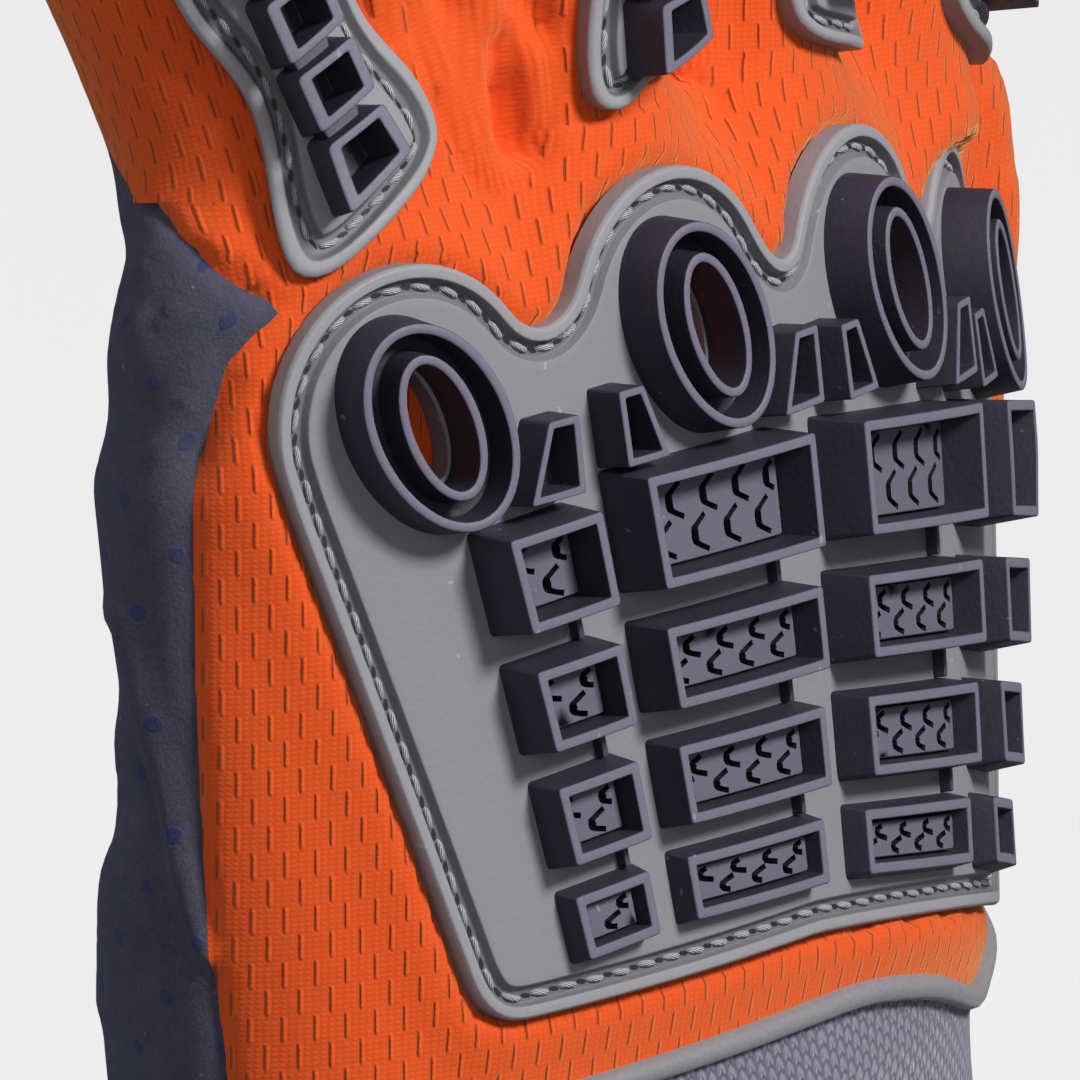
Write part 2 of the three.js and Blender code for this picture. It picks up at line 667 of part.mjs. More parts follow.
// The guard's outline: four round scallops, valleys between them, straight sides and an arched end
const SCALLOP = 10.2;
const VALLEY = 2.4;
const GUARD = {
  littleTop: new THREE.Vector2(-42.7, 3.8),
  littleSide: new THREE.Vector2(-39.6, -8),
  littleEnd: new THREE.Vector2(-34.3, -27.4),
  littleCorner: new THREE.Vector2(-33.2, -32.2),
  endLittle: new THREE.Vector2(-28.9, -32.2),
  endMiddle: new THREE.Vector2(-2, -32.8),
  endBend: new THREE.Vector2(12, -34.3),
  endIndex: new THREE.Vector2(31.0, -38.1),
  indexCorner: new THREE.Vector2(36.6, -38.6),
  indexEnd: new THREE.Vector2(38.2, -34.0),
  indexSide: new THREE.Vector2(44.6, -8),
  indexTop: new THREE.Vector2(46.2, -1.0),
};
const GUARD_RIDGE = list(-36, 40, 13).map((u) => new THREE.Vector2(u, SINK.level));
// Where each scallop starts and ends, in degrees round its ring, from the index side
const SCALLOP_ENDS = [[8, 139], [36, 157], [29, 158], [28, 184]];
const SCALLOP_STEPS = 7;

function guardOutline() {
  const points = [];
  const line = (a, b, count) => {
    for (let i = 1; i <= count; i += 1) points.push(a.clone().lerp(b, i / count));
  };
  const curve = (a, b, c, count) => {
    const bend = new THREE.QuadraticBezierCurve(a, b, c);
    for (let i = 1; i <= count; i += 1) points.push(bend.getPoint(i / count));
  };
  const onScallop = (ring, degrees) => {
    const angle = THREE.MathUtils.degToRad(degrees);
    return new THREE.Vector2(ring.u + SCALLOP * Math.cos(angle), ring.v + SCALLOP * Math.sin(angle));
  };
  curve(GUARD.littleEnd, GUARD.littleCorner, GUARD.endLittle, 3);
  line(GUARD.endLittle, GUARD.endMiddle, 5);
  curve(GUARD.endMiddle, GUARD.endBend, GUARD.endIndex, 6);
  curve(GUARD.endIndex, GUARD.indexCorner, GUARD.indexEnd, 3);
  line(GUARD.indexEnd, GUARD.indexSide, 2);
  line(GUARD.indexSide, GUARD.indexTop, 1);
  [...RINGS].reverse().forEach((ring, i) => {
    const [from, to] = SCALLOP_ENDS[i];
    if (i > 0) {
      const start = points.at(-1).clone();
      const end = onScallop(ring, from);
      const low = new THREE.Vector2((start.x + end.x) / 2, Math.min(start.y, end.y) - VALLEY);
      curve(start, low, end, 4);
      points.pop();
    }
    for (let k = 0; k <= SCALLOP_STEPS; k += 1) points.push(onScallop(ring, mix(from, to, k / SCALLOP_STEPS)));
  });
  line(points.at(-1).clone(), GUARD.littleTop, 1);
  line(GUARD.littleTop, GUARD.littleSide, 1);
  line(GUARD.littleSide, GUARD.littleEnd, 2);
  return points;
}

// Points moved inwards from a closed outline that runs anticlockwise
function inwards(points, by) {
  return points.map((p, i) => {
    const before = points[(i + points.length - 1) % points.length];
    const after = points[(i + 1) % points.length];
    const way = after.clone().sub(before).normalize();
    return new THREE.Vector2(p.x - way.y * by, p.y + way.x * by);
  });
}

// Rolled lip, stitched channel, then the face
const GUARD_PROFILE = [
  { inset: 0, height: -1.55 },
  { inset: 0, height: -0.2 },
  { inset: 0.35, height: 0.1 },
  { inset: 0.95, height: 0.1 },
  { inset: 1.2, height: -0.7 },
  { inset: 2.6, height: -0.7 },
  { inset: 2.85, height: 0 },
];

function buildGuardBase() {
  const outline = guardOutline();
  const ridge = [GUARD.littleSide, ...GUARD_RIDGE, GUARD.indexSide];
  let base = moulded(GUARD_PROFILE.map((row) => ({ flat: inwards(outline, row.inset), height: row.height })), ridge);
  RINGS.forEach((ring) => {
    const flat = oval(ring, RING_INNER, -RING_RIM - 0.5, 12);
    base = base.subtract(moulded([{ flat, height: -4 }, { flat, height: 2 }]));
  });
  add('hand_guard_base', base, 'base');
}

// Rectangular frames, in columns across the hand and rows down it.
// short is how much lower the first row's upper side is in that column.
const COLUMNS = [
  { left: -28.7, right: -21.5, steps: 1, short: 1.2 },
  { left: -17.5, right: -1.7, steps: 3, short: 0 },
  { left: 3.8, right: 20.5, steps: 3, short: 0 },
  { left: 25.4, right: 32.6, steps: 1, short: 0 },
];
const ROWS = [
  { top: 0.6, bottom: -7.0, height: 4.2 },
  { top: -9.7, bottom: -15.2, height: 3.55 },
  { top: -17.8, bottom: -23.1, height: 2.75 },
  { top: -25.4, bottom: -29.7, height: 1.75 },
];
const FRAME_RIM = 0.7;
const FRAME_FLOOR = 0.6;
const RIB = { width: 1.0, height: 0.9 };

const patch = (left, right, bottom, top) => [
  laid(left, bottom), laid(right, bottom), laid(right, top), laid(left, top),
];

function buildFrames() {
  ROWS.forEach((row, r) => {
    COLUMNS.forEach((column, c) => {
      const top = row.top - (r ? 0 : column.short);
      const corners = patch(column.left, column.right, row.bottom, top);
      const inner = shrink(corners, FRAME_RIM);
      let frame = moulded([
        { flat: cutCorners(shrink(corners, -DRAFT), 0.45, column.steps), height: GAP },
        { flat: cutCorners(corners, 0.3, column.steps), height: row.height },
        { flat: cutCorners(inner, 0.2, column.steps), height: row.height },
        { flat: cutCorners(shrink(inner, 0.15), 0.2, column.steps), height: FRAME_FLOOR },
      ]);
      if (r + 1 < ROWS.length && c + 1 < COLUMNS.length) {
        const edge = column.right - 0.4;
        const flat = patch(edge - RIB.width, edge, ROWS[r + 1].top + DRAFT + GAP, row.bottom + 0.3);
        frame = frame.add(moulded([{ flat, height: GAP }, { flat, height: RIB.height }]));
      }
      add(`frame_row${r + 1}_column${c + 1}`, frame, 'rubber');
    });
  });
}

// Small tapered frames in the gaps between the rings, by their corners beside the ring next to
// them. The last ones are moved along the hand to keep the row even.
const TAPERED = [
  { mark: 'a', beside: 0, left: 6.2, right: 10.8, topLeft: 8.4, topRight: 11.0, bottom: -6.6, top: -1.4 },
  { mark: 'b', beside: 1, left: -9.8, right: -5.9, topLeft: -9.9, topRight: -7.6, bottom: -7.1, top: -2.0 },
];
const TAPERED_LIFT = { '2b': 1.5, '3a': -1.2, '3b': 2.5 };
const TAPERED_HEIGHT = 2.9;
const TAPERED_RIM = 0.55;

function buildTaperedFrames() {
  for (let gap = 0; gap + 1 < RINGS.length; gap += 1) {
    TAPERED.forEach((shape) => {
      const ring = RINGS[gap + shape.beside];
      const lift = TAPERED_LIFT[`${gap + 1}${shape.mark}`] ?? 0;
      const corner = (du, dv) => new THREE.Vector2(ring.u + du, ring.v + dv + lift);
      const corners = [
        corner(shape.left, shape.bottom), corner(shape.right, shape.bottom),
        corner(shape.topRight, shape.top), corner(shape.topLeft, shape.top),
      ];
      add(`tapered_frame_${gap + 1}${shape.mark}`, moulded([
        { flat: cutCorners(shrink(corners, -0.1), 0.35, 1), height: GAP },
        { flat: cutCorners(corners, 0.35, 1), height: TAPERED_HEIGHT },
        { flat: cutCorners(shrink(corners, TAPERED_RIM), 0.25, 1), height: TAPERED_HEIGHT },
        { flat: cutCorners(shrink(corners, TAPERED_RIM + 0.05), 0.25, 1), height: 0.8 },
      ]), 'rubber');
    });
  }
}

// Finger guards: a grey base that wraps the finger's back, with a dark open ladder on it.
// shift moves a guard across the finger and slant tips its ends. start and length are the base's,
// first is the ladder's first rung above the start, and cells are its openings.
const FINGER_GUARDS = [
  { name: 'little', half: 6.0, shift: 0.4, start: 26.8, length: 41, slant: 0.3, first: 3.6, cells: 7 },
  { name: 'ring', half: 5.6, shift: 1.3, start: 31.5, length: 52, slant: 0.25, first: 2.8, cells: 9 },
  { name: 'middle', half: 5.6, shift: 1.2, start: 29.8, length: 58, slant: -0.22, first: 4.6, cells: 10 },
  { name: 'index', half: 5.8, shift: 1.0, start: 28.5, length: 51, slant: -0.25, first: 3.2, cells: 9 },
];
// Across a finger guard, from its edge to its middle, above the fabric
const FINGER_PROFILE = [
  { inset: 0, height: 0.3 },
  { inset: 0, height: 1.45 },
  { inset: 0.3, height: 1.7 },
  { inset: 0.9, height: 1.7 },
  { inset: 1.1, height: 1.0 },
  { inset: 2.1, height: 1.0 },
  { inset: 2.3, height: 1.6 },
];
const GUARD_STATIONS = 6;
const LADDER = { foot: 2.0, height: 3.0, half: 1.85, offset: -0.8, rail: 0.65, rung: 1.4, margin: 3.4 };

// A point over the back of a finger: across and along its surface, and a height above it
function onFinger(finger, across, along, height) {
  const frame = frameAt(finger, along);
  const radius = radiusAt(finger, along);
  const angle = across / radius;
  return beside(frame, (radius + height) * Math.sin(angle), (radius + height) * Math.cos(angle));
}

function buildFingerGuards() {
  FINGER_GUARDS.forEach((guard, k) => {
    const finger = FINGERS[k];
    const place = (across, along, height) => onFinger(
      finger,
      across + guard.shift,
      along + guard.slant * across,
      height,
    );
    const loops = list(0, 1, GUARD_STATIONS).map((t) => {
      const end = Math.min(t, 1 - t) * GUARD_STATIONS;
      const half = guard.half * mix(0.72, 1, Math.min(end, 1)) - 0.5 * Math.sin(t * Math.PI * 5) ** 2;
      const along = guard.start + guard.length * t;
      const rise = FINGER_PROFILE.map((row) => place(half - row.inset, along, row.height));
      const fall = [...FINGER_PROFILE].reverse().map((row) => place(row.inset - half, along, row.height));
      const under = [-0.5, 0, 0.5].map((share) => place(share * half, along, FINGER_PROFILE[0].height));
      return [...rise, place(0, along, FINGER_PROFILE.at(-1).height), ...fall, ...under];
    });
    const base = loft(loops).subtract(bodySolid(-GAP, 0));
    add(`${guard.name}_finger_guard`, largest(base), 'base');

    const first = guard.start + guard.first;
    const pitch = (guard.length - guard.first - LADDER.margin) / guard.cells;
    const levels = [LADDER.foot, LADDER.foot + LADDER.height];
    const edges = [];
    for (let i = 0; i <= guard.cells; i += 1) {
      const half = LADDER.rung / 2;
      edges.push(first + i * pitch - half, first + i * pitch + half);
    }
    const inner = LADDER.half - LADDER.rail;
    const lanes = [-LADDER.half, -inner, inner, LADDER.half].map((lane) => lane + LADDER.offset);
    const at = (i, j, k) => place(lanes[j], edges[i], levels[k]);
    const triangles = [];
    const quad = (p, q, r, t) => triangles.push(p, q, r, p, r, t);
    for (let i = 0; i + 1 < edges.length; i += 1) {
      const open = i % 2 === 1;
      for (let j = 0; j < 3; j += 1) {
        if (open && j === 1) continue;
        quad(at(i, j, 1), at(i, j + 1, 1), at(i + 1, j + 1, 1), at(i + 1, j, 1));
        quad(at(i, j, 0), at(i + 1, j, 0), at(i + 1, j + 1, 0), at(i, j + 1, 0));
      }
      quad(at(i, 0, 0), at(i, 0, 1), at(i + 1, 0, 1), at(i + 1, 0, 0));
      quad(at(i, 3, 0), at(i + 1, 3, 0), at(i + 1, 3, 1), at(i, 3, 1));
      if (open) {
        quad(at(i, 1, 0), at(i + 1, 1, 0), at(i + 1, 1, 1), at(i, 1, 1));
        quad(at(i, 2, 0), at(i, 2, 1), at(i + 1, 2, 1), at(i + 1, 2, 0));
        quad(at(i, 1, 0), at(i, 1, 1), at(i, 2, 1), at(i, 2, 0));
        quad(at(i + 1, 1, 0), at(i + 1, 2, 0), at(i + 1, 2, 1), at(i + 1, 1, 1));
      }
    }
    const last = edges.length - 1;
    for (let j = 0; j < 3; j += 1) {
      quad(at(0, j, 0), at(0, j + 1, 0), at(0, j + 1, 1), at(0, j, 1));
      quad(at(last, j, 0), at(last, j, 1), at(last, j + 1, 1), at(last, j + 1, 0));
    }
    const ladder = facingOut(triangles);
    add(`${guard.name}_finger_ladder`, ladder, 'rubber');
  });
}

buildFabric();
buildFingers();
buildBinding();
buildGuardBase();
buildRings();
buildTaperedFrames();
buildFrames();
buildFingerGuards();

export default glove;
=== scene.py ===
"""Looks of a left-hand impact glove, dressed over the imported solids.

Lengths here are millimetres until a mesh is made. The back of the hand faces -Y, the fingertips
point to +Z, the index side is +X and the origin is the centre of the wrist opening.
"""
import math

import bpy
import numpy as np
from mathutils import Matrix, Vector, geometry
from mathutils.bvhtree import BVHTree
from mathutils.kdtree import KDTree
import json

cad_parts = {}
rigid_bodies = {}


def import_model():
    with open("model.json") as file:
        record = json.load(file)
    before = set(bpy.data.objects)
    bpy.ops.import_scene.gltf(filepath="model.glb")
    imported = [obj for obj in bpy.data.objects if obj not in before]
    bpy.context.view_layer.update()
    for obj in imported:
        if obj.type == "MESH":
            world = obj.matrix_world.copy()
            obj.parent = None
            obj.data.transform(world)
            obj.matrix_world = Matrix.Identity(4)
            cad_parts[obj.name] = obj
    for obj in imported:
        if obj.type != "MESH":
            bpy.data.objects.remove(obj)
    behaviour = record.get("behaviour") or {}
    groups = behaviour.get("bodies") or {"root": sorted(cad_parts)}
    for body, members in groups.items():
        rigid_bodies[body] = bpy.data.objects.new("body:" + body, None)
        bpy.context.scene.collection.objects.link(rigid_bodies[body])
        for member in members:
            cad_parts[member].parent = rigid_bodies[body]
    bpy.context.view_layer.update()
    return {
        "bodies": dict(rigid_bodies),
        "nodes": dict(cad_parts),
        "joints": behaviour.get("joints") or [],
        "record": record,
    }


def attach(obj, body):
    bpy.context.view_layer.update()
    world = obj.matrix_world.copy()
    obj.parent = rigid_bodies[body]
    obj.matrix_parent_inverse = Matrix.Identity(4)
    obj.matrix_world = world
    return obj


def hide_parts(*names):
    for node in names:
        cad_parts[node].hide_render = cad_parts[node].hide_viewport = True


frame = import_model()

# The hand back: straight along Z, bent across. u runs across it, v along it, h out of it.
KNUCKLE_Z, CREST_Y = 110.0, -21.0
BEND, BEND_CUBED = 0.594, 5.18e-5
FABRIC_DEPTH = 1.9
SINK_SLOPE, SINK_LEVEL, SINK_X, SINK_Y = 0.09, -8.0, 0.56, 0.83


def smooth(t):
    t = np.clip(t, 0, 1)
    return t * t * (3 - 2 * t)


def bend_angle(u):
    return np.radians(BEND * u + BEND_CUBED * u ** 3)


ARC_U = np.arange(0, 80.01, 0.1)
_middle = bend_angle(ARC_U[:-1] + 0.05)
ARC_X = np.concatenate([[0], np.cumsum(np.cos(_middle) * 0.1)])
ARC_Y = np.concatenate([[0], np.cumsum(np.sin(_middle) * 0.1)])


def arc(u):
    """The bent line of the hand back, as x and y at a length along it."""
    return np.sign(u) * np.interp(abs(u), ARC_U, ARC_X), np.interp(abs(u), ARC_U, ARC_Y)


def sink(u, v):
    """How far the hand back falls away towards the index side of the wrist."""
    return SINK_SLOPE * np.maximum(0, SINK_LEVEL - v) * smooth((u - 20) / 20)


def on_back(u, v, h):
    u, v, h = np.broadcast_arrays(*(np.asarray(a, float) for a in (u, v, h)))
    x, y = arc(u)
    a, k = bend_angle(u), sink(u, v)
    x, y = x + h * np.sin(a) - SINK_X * k, CREST_Y + y - h * np.cos(a) + SINK_Y * k
    return np.stack([x, y, KNUCKLE_Z + v], -1)


def off_back(p):
    """The place on the hand back, and the height over it, of points in space."""
    v = p[:, 2] - KNUCKLE_Z
    u = np.clip(p[:, 0], -60, 60)
    for _ in range(14):
        x, y = arc(u)
        a, k = bend_angle(u), sink(u, v)
        dx, dy = p[:, 0] - x + SINK_X * k, p[:, 1] - CREST_Y - y - SINK_Y * k
        u = np.clip(u + 0.85 * (dx * np.cos(a) + dy * np.sin(a)), -75, 75)
    return u, v, dx * np.sin(a) - dy * np.cos(a)


# Meshes


def unit(rows):
    return rows / np.linalg.norm(rows, axis=-1, keepdims=True)


def interpolated(at, steps, table):
    """Rows of a table at places between its steps."""
    return np.stack([np.interp(at, steps, table[:, k]) for k in range(table.shape[1])], -1)


def bowed(a, b, c, t):
    """A point on the curve from a to c that is drawn towards b."""
    return a * (1 - t) ** 2 + 2 * b * t * (1 - t) + c * t * t


def bands(rows, n, ring=False):
    """The faces between rows of n points each. In a ring the last row meets the first."""
    return [(k * n + i, k * n + (i + 1) % n, (k + 1) % rows * n + (i + 1) % n, (k + 1) % rows * n + i)
            for k in range(rows if ring else rows - 1) for i in range(n)]


def tube_faces(rows, n):
    return bands(rows, n) + [tuple(range(n))[::-1], tuple(range((rows - 1) * n, rows * n))]


def linked(name, data):
    """A new object in the scene."""
    thing = bpy.data.objects.new(name, data)
    bpy.context.scene.collection.objects.link(thing)
    return thing


def read(rows, key, kind, width=1):
    """One property of many mesh elements, as an array."""
    values = np.zeros(len(rows) * width, kind)
    rows.foreach_get(key, values)
    return values


class Parts:
    """Vertices, faces and a level of painted light and shade for each vertex, gathered for one mesh."""

    def __init__(self):
        self.points, self.faces, self.tones, self.count = [], [], [], 0

    def add(self, points, faces, tone=0.0):
        points = np.asarray(points, float).reshape(-1, 3)
        self.points.append(points)
        self.tones.append(np.broadcast_to(np.asarray(tone, float), (len(points),)).copy())
        self.faces += [tuple(i + self.count for i in f) for f in faces]
        self.count += len(points)


def mesh_object(name, parts, material, slot, replaces=(), angle=38, flip=False):
    mesh = bpy.data.meshes.new(name)
    points = np.concatenate(parts.points) * 0.001
    faces = [f[::-1] for f in parts.faces] if flip else parts.faces
    mesh.from_pydata(points.tolist(), [], faces)
    # Each vertex's level of painted light and shade, which the rubber and thread materials turn into colour:
    # lit tops lighter, and recesses, grooves and needle holes darker as painted shade.
    tone = mesh.attributes.new("tone", "FLOAT", "POINT")
    tone.data.foreach_set("value", np.concatenate(parts.tones).astype(np.float32))
    return dress(name, mesh, material, slot, replaces, angle)


def dress(name, mesh, material, slot, replaces=(), angle=38):
    mesh.validate()
    mesh.polygons.foreach_set("use_smooth", [True] * len(mesh.polygons))
    if angle:
        mesh.set_sharp_from_angle(angle=math.radians(angle))
    mesh.materials.append(material)
    thing = linked(name, mesh)
    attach(thing, "root")
    if replaces:
        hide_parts(*replaces)
    return thing


def soften(profile, radius, steps=3):
    """Rounds the corners of an open profile of rows (inset, height, painted light level of what follows)."""
    out = [tuple(profile[0])]
    for a, b, c in zip(profile, profile[1:], profile[2:]):
        pa, pb, pc = (np.array(q[:2], float) for q in (a, b, c))
        la, lc = np.linalg.norm(pa - pb), np.linalg.norm(pc - pb)
        r = min(radius, 0.45 * la, 0.45 * lc)
        start, end = pb + (pa - pb) / la * r, pb + (pc - pb) / lc * r
        for k in range(steps + 1):
            t = k / steps
            q = bowed(start, pb, end, t)
            out.append((q[0], q[1], a[2] * (1 - t) + b[2] * t))
    out.append(tuple(profile[-1]))
    return out


def inside(points, polygon):
    """Which flat points lie in a polygon."""
    x, y = points[:, 0:1], points[:, 1:2]
    ax, ay = polygon[:, 0], polygon[:, 1]
    bx, by = np.roll(ax, -1), np.roll(ay, -1)
    crossing = (ay > y) != (by > y)
    at = ax + (y - ay) * (bx - ax) / np.where(by == ay, 1e-9, by - ay)
    return (crossing & (x < at)).sum(1) % 2 == 1


def cap(outer, holes=(), spacing=1.5):
    """Fills a flat outline with holes. The points come back as outer, then holes, then inner ones."""
    rims = [outer, *holes]
    edges, start = [], 0
    for rim in rims:
        n = len(rim)
        edges += [(start + i, start + (i + 1) % n) for i in range(n)]
        start += n
    low, high = outer.min(0), outer.max(0)
    xs = np.arange(low[0] + spacing / 2, high[0], spacing)
    ys = np.arange(low[1] + spacing / 2, high[1], spacing)
    grid = np.stack(np.meshgrid(xs, ys), -1).reshape(-1, 2)
    if len(grid):
        keep = inside(grid, outer)
        for hole in holes:
            keep &= ~inside(grid, hole)
        near = np.full(len(grid), 1e9)
        for rim in rims:
            for k in range(0, len(rim), 400):
                part = rim[k:k + 400]
                near = np.minimum(near, np.linalg.norm(grid[:, None] - part[None], axis=2).min(1))
        grid = grid[keep & (near > 0.35 * spacing)]
    points = np.concatenate([*rims, grid]) if len(grid) else np.concatenate(rims)
    made, _, faces, origin, _, _ = geometry.delaunay_2d_cdt([Vector(p) for p in points], edges, [], 0, 1e-7)
    made = np.array([tuple(p) for p in made])
    index = [ids[0] if ids else len(points) + k for k, ids in enumerate(origin)]
    extra = [k for k, ids in enumerate(origin) if not ids]
    for j, k in enumerate(extra):
        index[k] = len(points) + j
    points = np.concatenate([points, made[extra]]) if extra else points
    faces = [[index[i] for i in f] for f in faces]
    centres = np.array([points[f].mean(0) for f in faces])
    keep = inside(centres, outer)
    for hole in holes:
        keep &= ~inside(centres, hole)
    return points, [f for f, k in zip(faces, keep) if k]


def moulded(parts, loops, place, closed=(True, True), holes=(), spacing=1.5):
    """A raised piece from anticlockwise flat loops with heights and levels of painted light and shade, placed
    on a surface.
    closed says whether the first and the last loop are filled."""
    n = len(loops[0][0])
    flats = np.concatenate([loop[0] for loop in loops])
    heights, tones = (np.repeat(np.array([loop[k] for loop in loops], float), n) for k in (1, 2))
    parts.add(place(*flats.T, heights), bands(len(loops), n), tones)
    ends = []
    for which, wanted in ((0, closed[0]), (-1, closed[1])):
        if wanted:
            flat, height, tone = loops[which]
            points, tris = cap(np.asarray(flat), holes, spacing)
            if which == 0:
                tris = [t[::-1] for t in tris]
            parts.add(place(*points.T, height), tris, tone)
            ends.append(height)
    for hole in holes if len(ends) == 2 else ():
        m = len(hole)
        both = np.concatenate([place(*hole.T, h) for h in (ends[1], ends[0])])
        parts.add(both, [(i, m + i, m + (i + 1) % m, (i + 1) % m) for i in range(m)], 0.0)


def inwards(points, by):
    """A closed outline moved towards its inside."""
    points = np.asarray(points, float)
    way = unit(np.roll(points, -1, 0) - np.roll(points, 1, 0))
    return points + np.stack([-way[:, 1], way[:, 0]], 1) * by


def resample(points, step, closed=True):
    points = np.asarray(points, float)
    ring = np.concatenate([points, points[:1]]) if closed else points
    length = np.concatenate([[0], np.cumsum(np.linalg.norm(np.diff(ring, axis=0), axis=1))])
    count = max(3, int(round(length[-1] / step)))
    at = np.linspace(0, length[-1], count + (0 if closed else 1), endpoint=not closed)
    return interpolated(at, length, ring)


def eased(points, rounds, closed=True):
    points = np.asarray(points, float)
    for _ in range(rounds):
        if closed:
            points = 0.5 * points + 0.25 * (np.roll(points, 1, 0) + np.roll(points, -1, 0))
        else:
            points[1:-1] = 0.5 * points[1:-1] + 0.25 * (points[:-2] + points[2:])
    return points


# Materials


class Wire:
    """A node's output that takes arithmetic, with one math node for each sign."""

    def __init__(self, nodes, socket):
        self.nodes, self.socket = nodes, socket

    def __add__(self, other):
        return self.nodes.math("ADD", self, other)

    def __radd__(self, other):
        return self.nodes.math("ADD", other, self)

    def __sub__(self, other):
        return self.nodes.math("SUBTRACT", self, other)

    def __rsub__(self, other):
        return self.nodes.math("SUBTRACT", other, self)

    def __mul__(self, other):
        return self.nodes.math("MULTIPLY", self, other)

    def __truediv__(self, other):
        return self.nodes.math("DIVIDE", self, other)

    def __pow__(self, other):
        return self.nodes.math("POWER", self, other)


class Nodes:
    """Builds one node material."""

    def __init__(self, name, **shader):
        self.material = bpy.data.materials.new(name)
        self.material.use_nodes = True
        self.tree = self.material.node_tree
        self.shader = self.tree.nodes["Principled BSDF"]
        for key, value in shader.items():
            self.shader.inputs[key.replace("_", " ")].default_value = value

    def new(self, kind, **values):
        node = self.tree.nodes.new(kind)
        for key, value in values.items():
            setattr(node, key, value)
        return node

    def put(self, socket, value):
        value = value.socket if isinstance(value, Wire) else value
        if isinstance(value, bpy.types.NodeSocket):
            self.tree.links.new(value, socket)
        else:
            socket.default_value = value

    def math(self, operation, *values, clamp=False):
        node = self.new("ShaderNodeMath", operation=operation, use_clamp=clamp)
        for socket, value in zip(node.inputs, values):
            self.put(socket, value)
        return Wire(self, node.outputs[0])

    def sine(self, value, length):
        """A wave with a wavelength in the value's own unit."""
        return self.math("SINE", value * (2 * math.pi / length))

    def cell(self, value, size):
        """Which cell of a row a value is in, odd ones as 1, and the place in it from -0.5 to 0.5."""
        scaled = value / size
        return self.math("PINGPONG", self.math("FLOOR", scaled), 1.0), self.math("FRACT", scaled) - 0.5

    def step(self, value, low, high):
        node = self.new("ShaderNodeMapRange", interpolation_type="SMOOTHSTEP")
        for key, given in (("Value", value), ("From Min", low), ("From Max", high)):
            self.put(node.inputs[key], given)
        return Wire(self, node.outputs[0])

    def mix(self, share, a, b):
        node = self.new("ShaderNodeMix", data_type="RGBA")
        self.put(node.inputs["Factor"], share)
        self.put(node.inputs[6], a)
        self.put(node.inputs[7], b)
        return node.outputs[2]

    def attribute(self, name):
        return Wire(self, self.new("ShaderNodeAttribute", attribute_name=name).outputs["Fac"])

    def noise(self, scale, detail=3.0, roughness=0.5):
        """Noise in space, with its scale per mm."""
        place = self.new("ShaderNodeVectorMath", operation="SCALE")
        self.put(place.inputs[0], self.new("ShaderNodeTexCoord").outputs["Object"])
        place.inputs["Scale"].default_value = 1000.0
        node = self.new("ShaderNodeTexNoise")
        self.put(node.inputs["Vector"], place.outputs[0])
        for key, value in (("Scale", scale), ("Detail", detail), ("Roughness", roughness)):
            node.inputs[key].default_value = value
        return Wire(self, node.outputs["Fac"])

    def specks(self, scale, low):
        """Sparse specks of light dust."""
        return self.step(self.noise(scale, 2, roughness=0.4), low, low + 0.04)

    def bump(self, height, distance, strength):
        node = self.new("ShaderNodeBump")
        self.put(node.inputs["Height"], height)
        node.inputs["Distance"].default_value = distance
        node.inputs["Strength"].default_value = strength
        return node.outputs[0]

    def finish(self, colour=None, roughness=None, normal=None):
        for key, value in (("Base Color", colour), ("Roughness", roughness), ("Normal", normal)):
            if value is not None:
                self.put(self.shader.inputs[key], value)
        return self.material

    def cloth(self):
        """The flat place on the cloth in mm, as two sockets."""
        node = self.new("ShaderNodeUVMap", uv_map="cloth")
        apart = self.new("ShaderNodeSeparateXYZ")
        self.tree.links.new(node.outputs[0], apart.inputs[0])
        return Wire(self, apart.outputs[0]), Wire(self, apart.outputs[1])


def rgb(r, g, b):
    """A colour given as it looks on a screen, from 0 to 255."""
    def linear(c):
        c /= 255
        return c / 12.92 if c <= 0.04045 else ((c + 0.055) / 1.055) ** 2.4
    return (linear(r), linear(g), linear(b), 1.0)


def dark_rubber():
    n = Nodes("dark_rubber", Roughness=0.5, Specular_IOR_Level=0.3)
    tone = n.attribute("tone")
    grain, patch = n.noise(2.2, 6, roughness=0.65), n.noise(0.12, 3)
    speck = n.step(n.noise(1.1, 2, roughness=0.4), 0.745, 0.78)
    # Painted light and shade: lit tops lighter, walls darker, and the floors of recesses darkest as painted
    # shade.
    colour = n.mix(n.math("MAXIMUM", tone, 0.0, clamp=True), rgb(40, 36, 48), rgb(112, 108, 124))
    colour = n.mix(n.math("MULTIPLY", tone, -1.0, clamp=True), colour, rgb(12, 10, 13))
    colour = n.mix(patch * 0.22, colour, rgb(80, 76, 92))
    # Dust specks, which show more strongly on the tops painted as lit and faintly in the painted shade.
    colour = n.mix(speck * (0.25 + tone * 0.25), colour, rgb(165, 162, 172))
    return n.finish(colour, 0.4 + grain * 0.3, n.bump(grain, 0.00012, 0.5))


def grey_rubber():
    n = Nodes("grey_rubber", Roughness=0.5, Specular_IOR_Level=0.3)
    tone = n.attribute("tone")
    grain, patch = n.noise(2.0, 6, roughness=0.6), n.noise(0.08, 3)
    # Painted light: lit lips and plateaus lighter, grooves and walls facing away darker as painted shade.
    colour = n.mix(n.math("MAXIMUM", tone, 0.0, clamp=True), rgb(98, 97, 102), rgb(146, 145, 149))
    colour = n.mix(patch * 0.3, colour, rgb(120, 119, 124))
    colour = n.mix(n.specks(1.0, 0.74) * 0.35, colour, rgb(190, 190, 194))
    return n.finish(colour, 0.42 + grain * 0.22, n.bump(grain, 0.0001, 0.5))


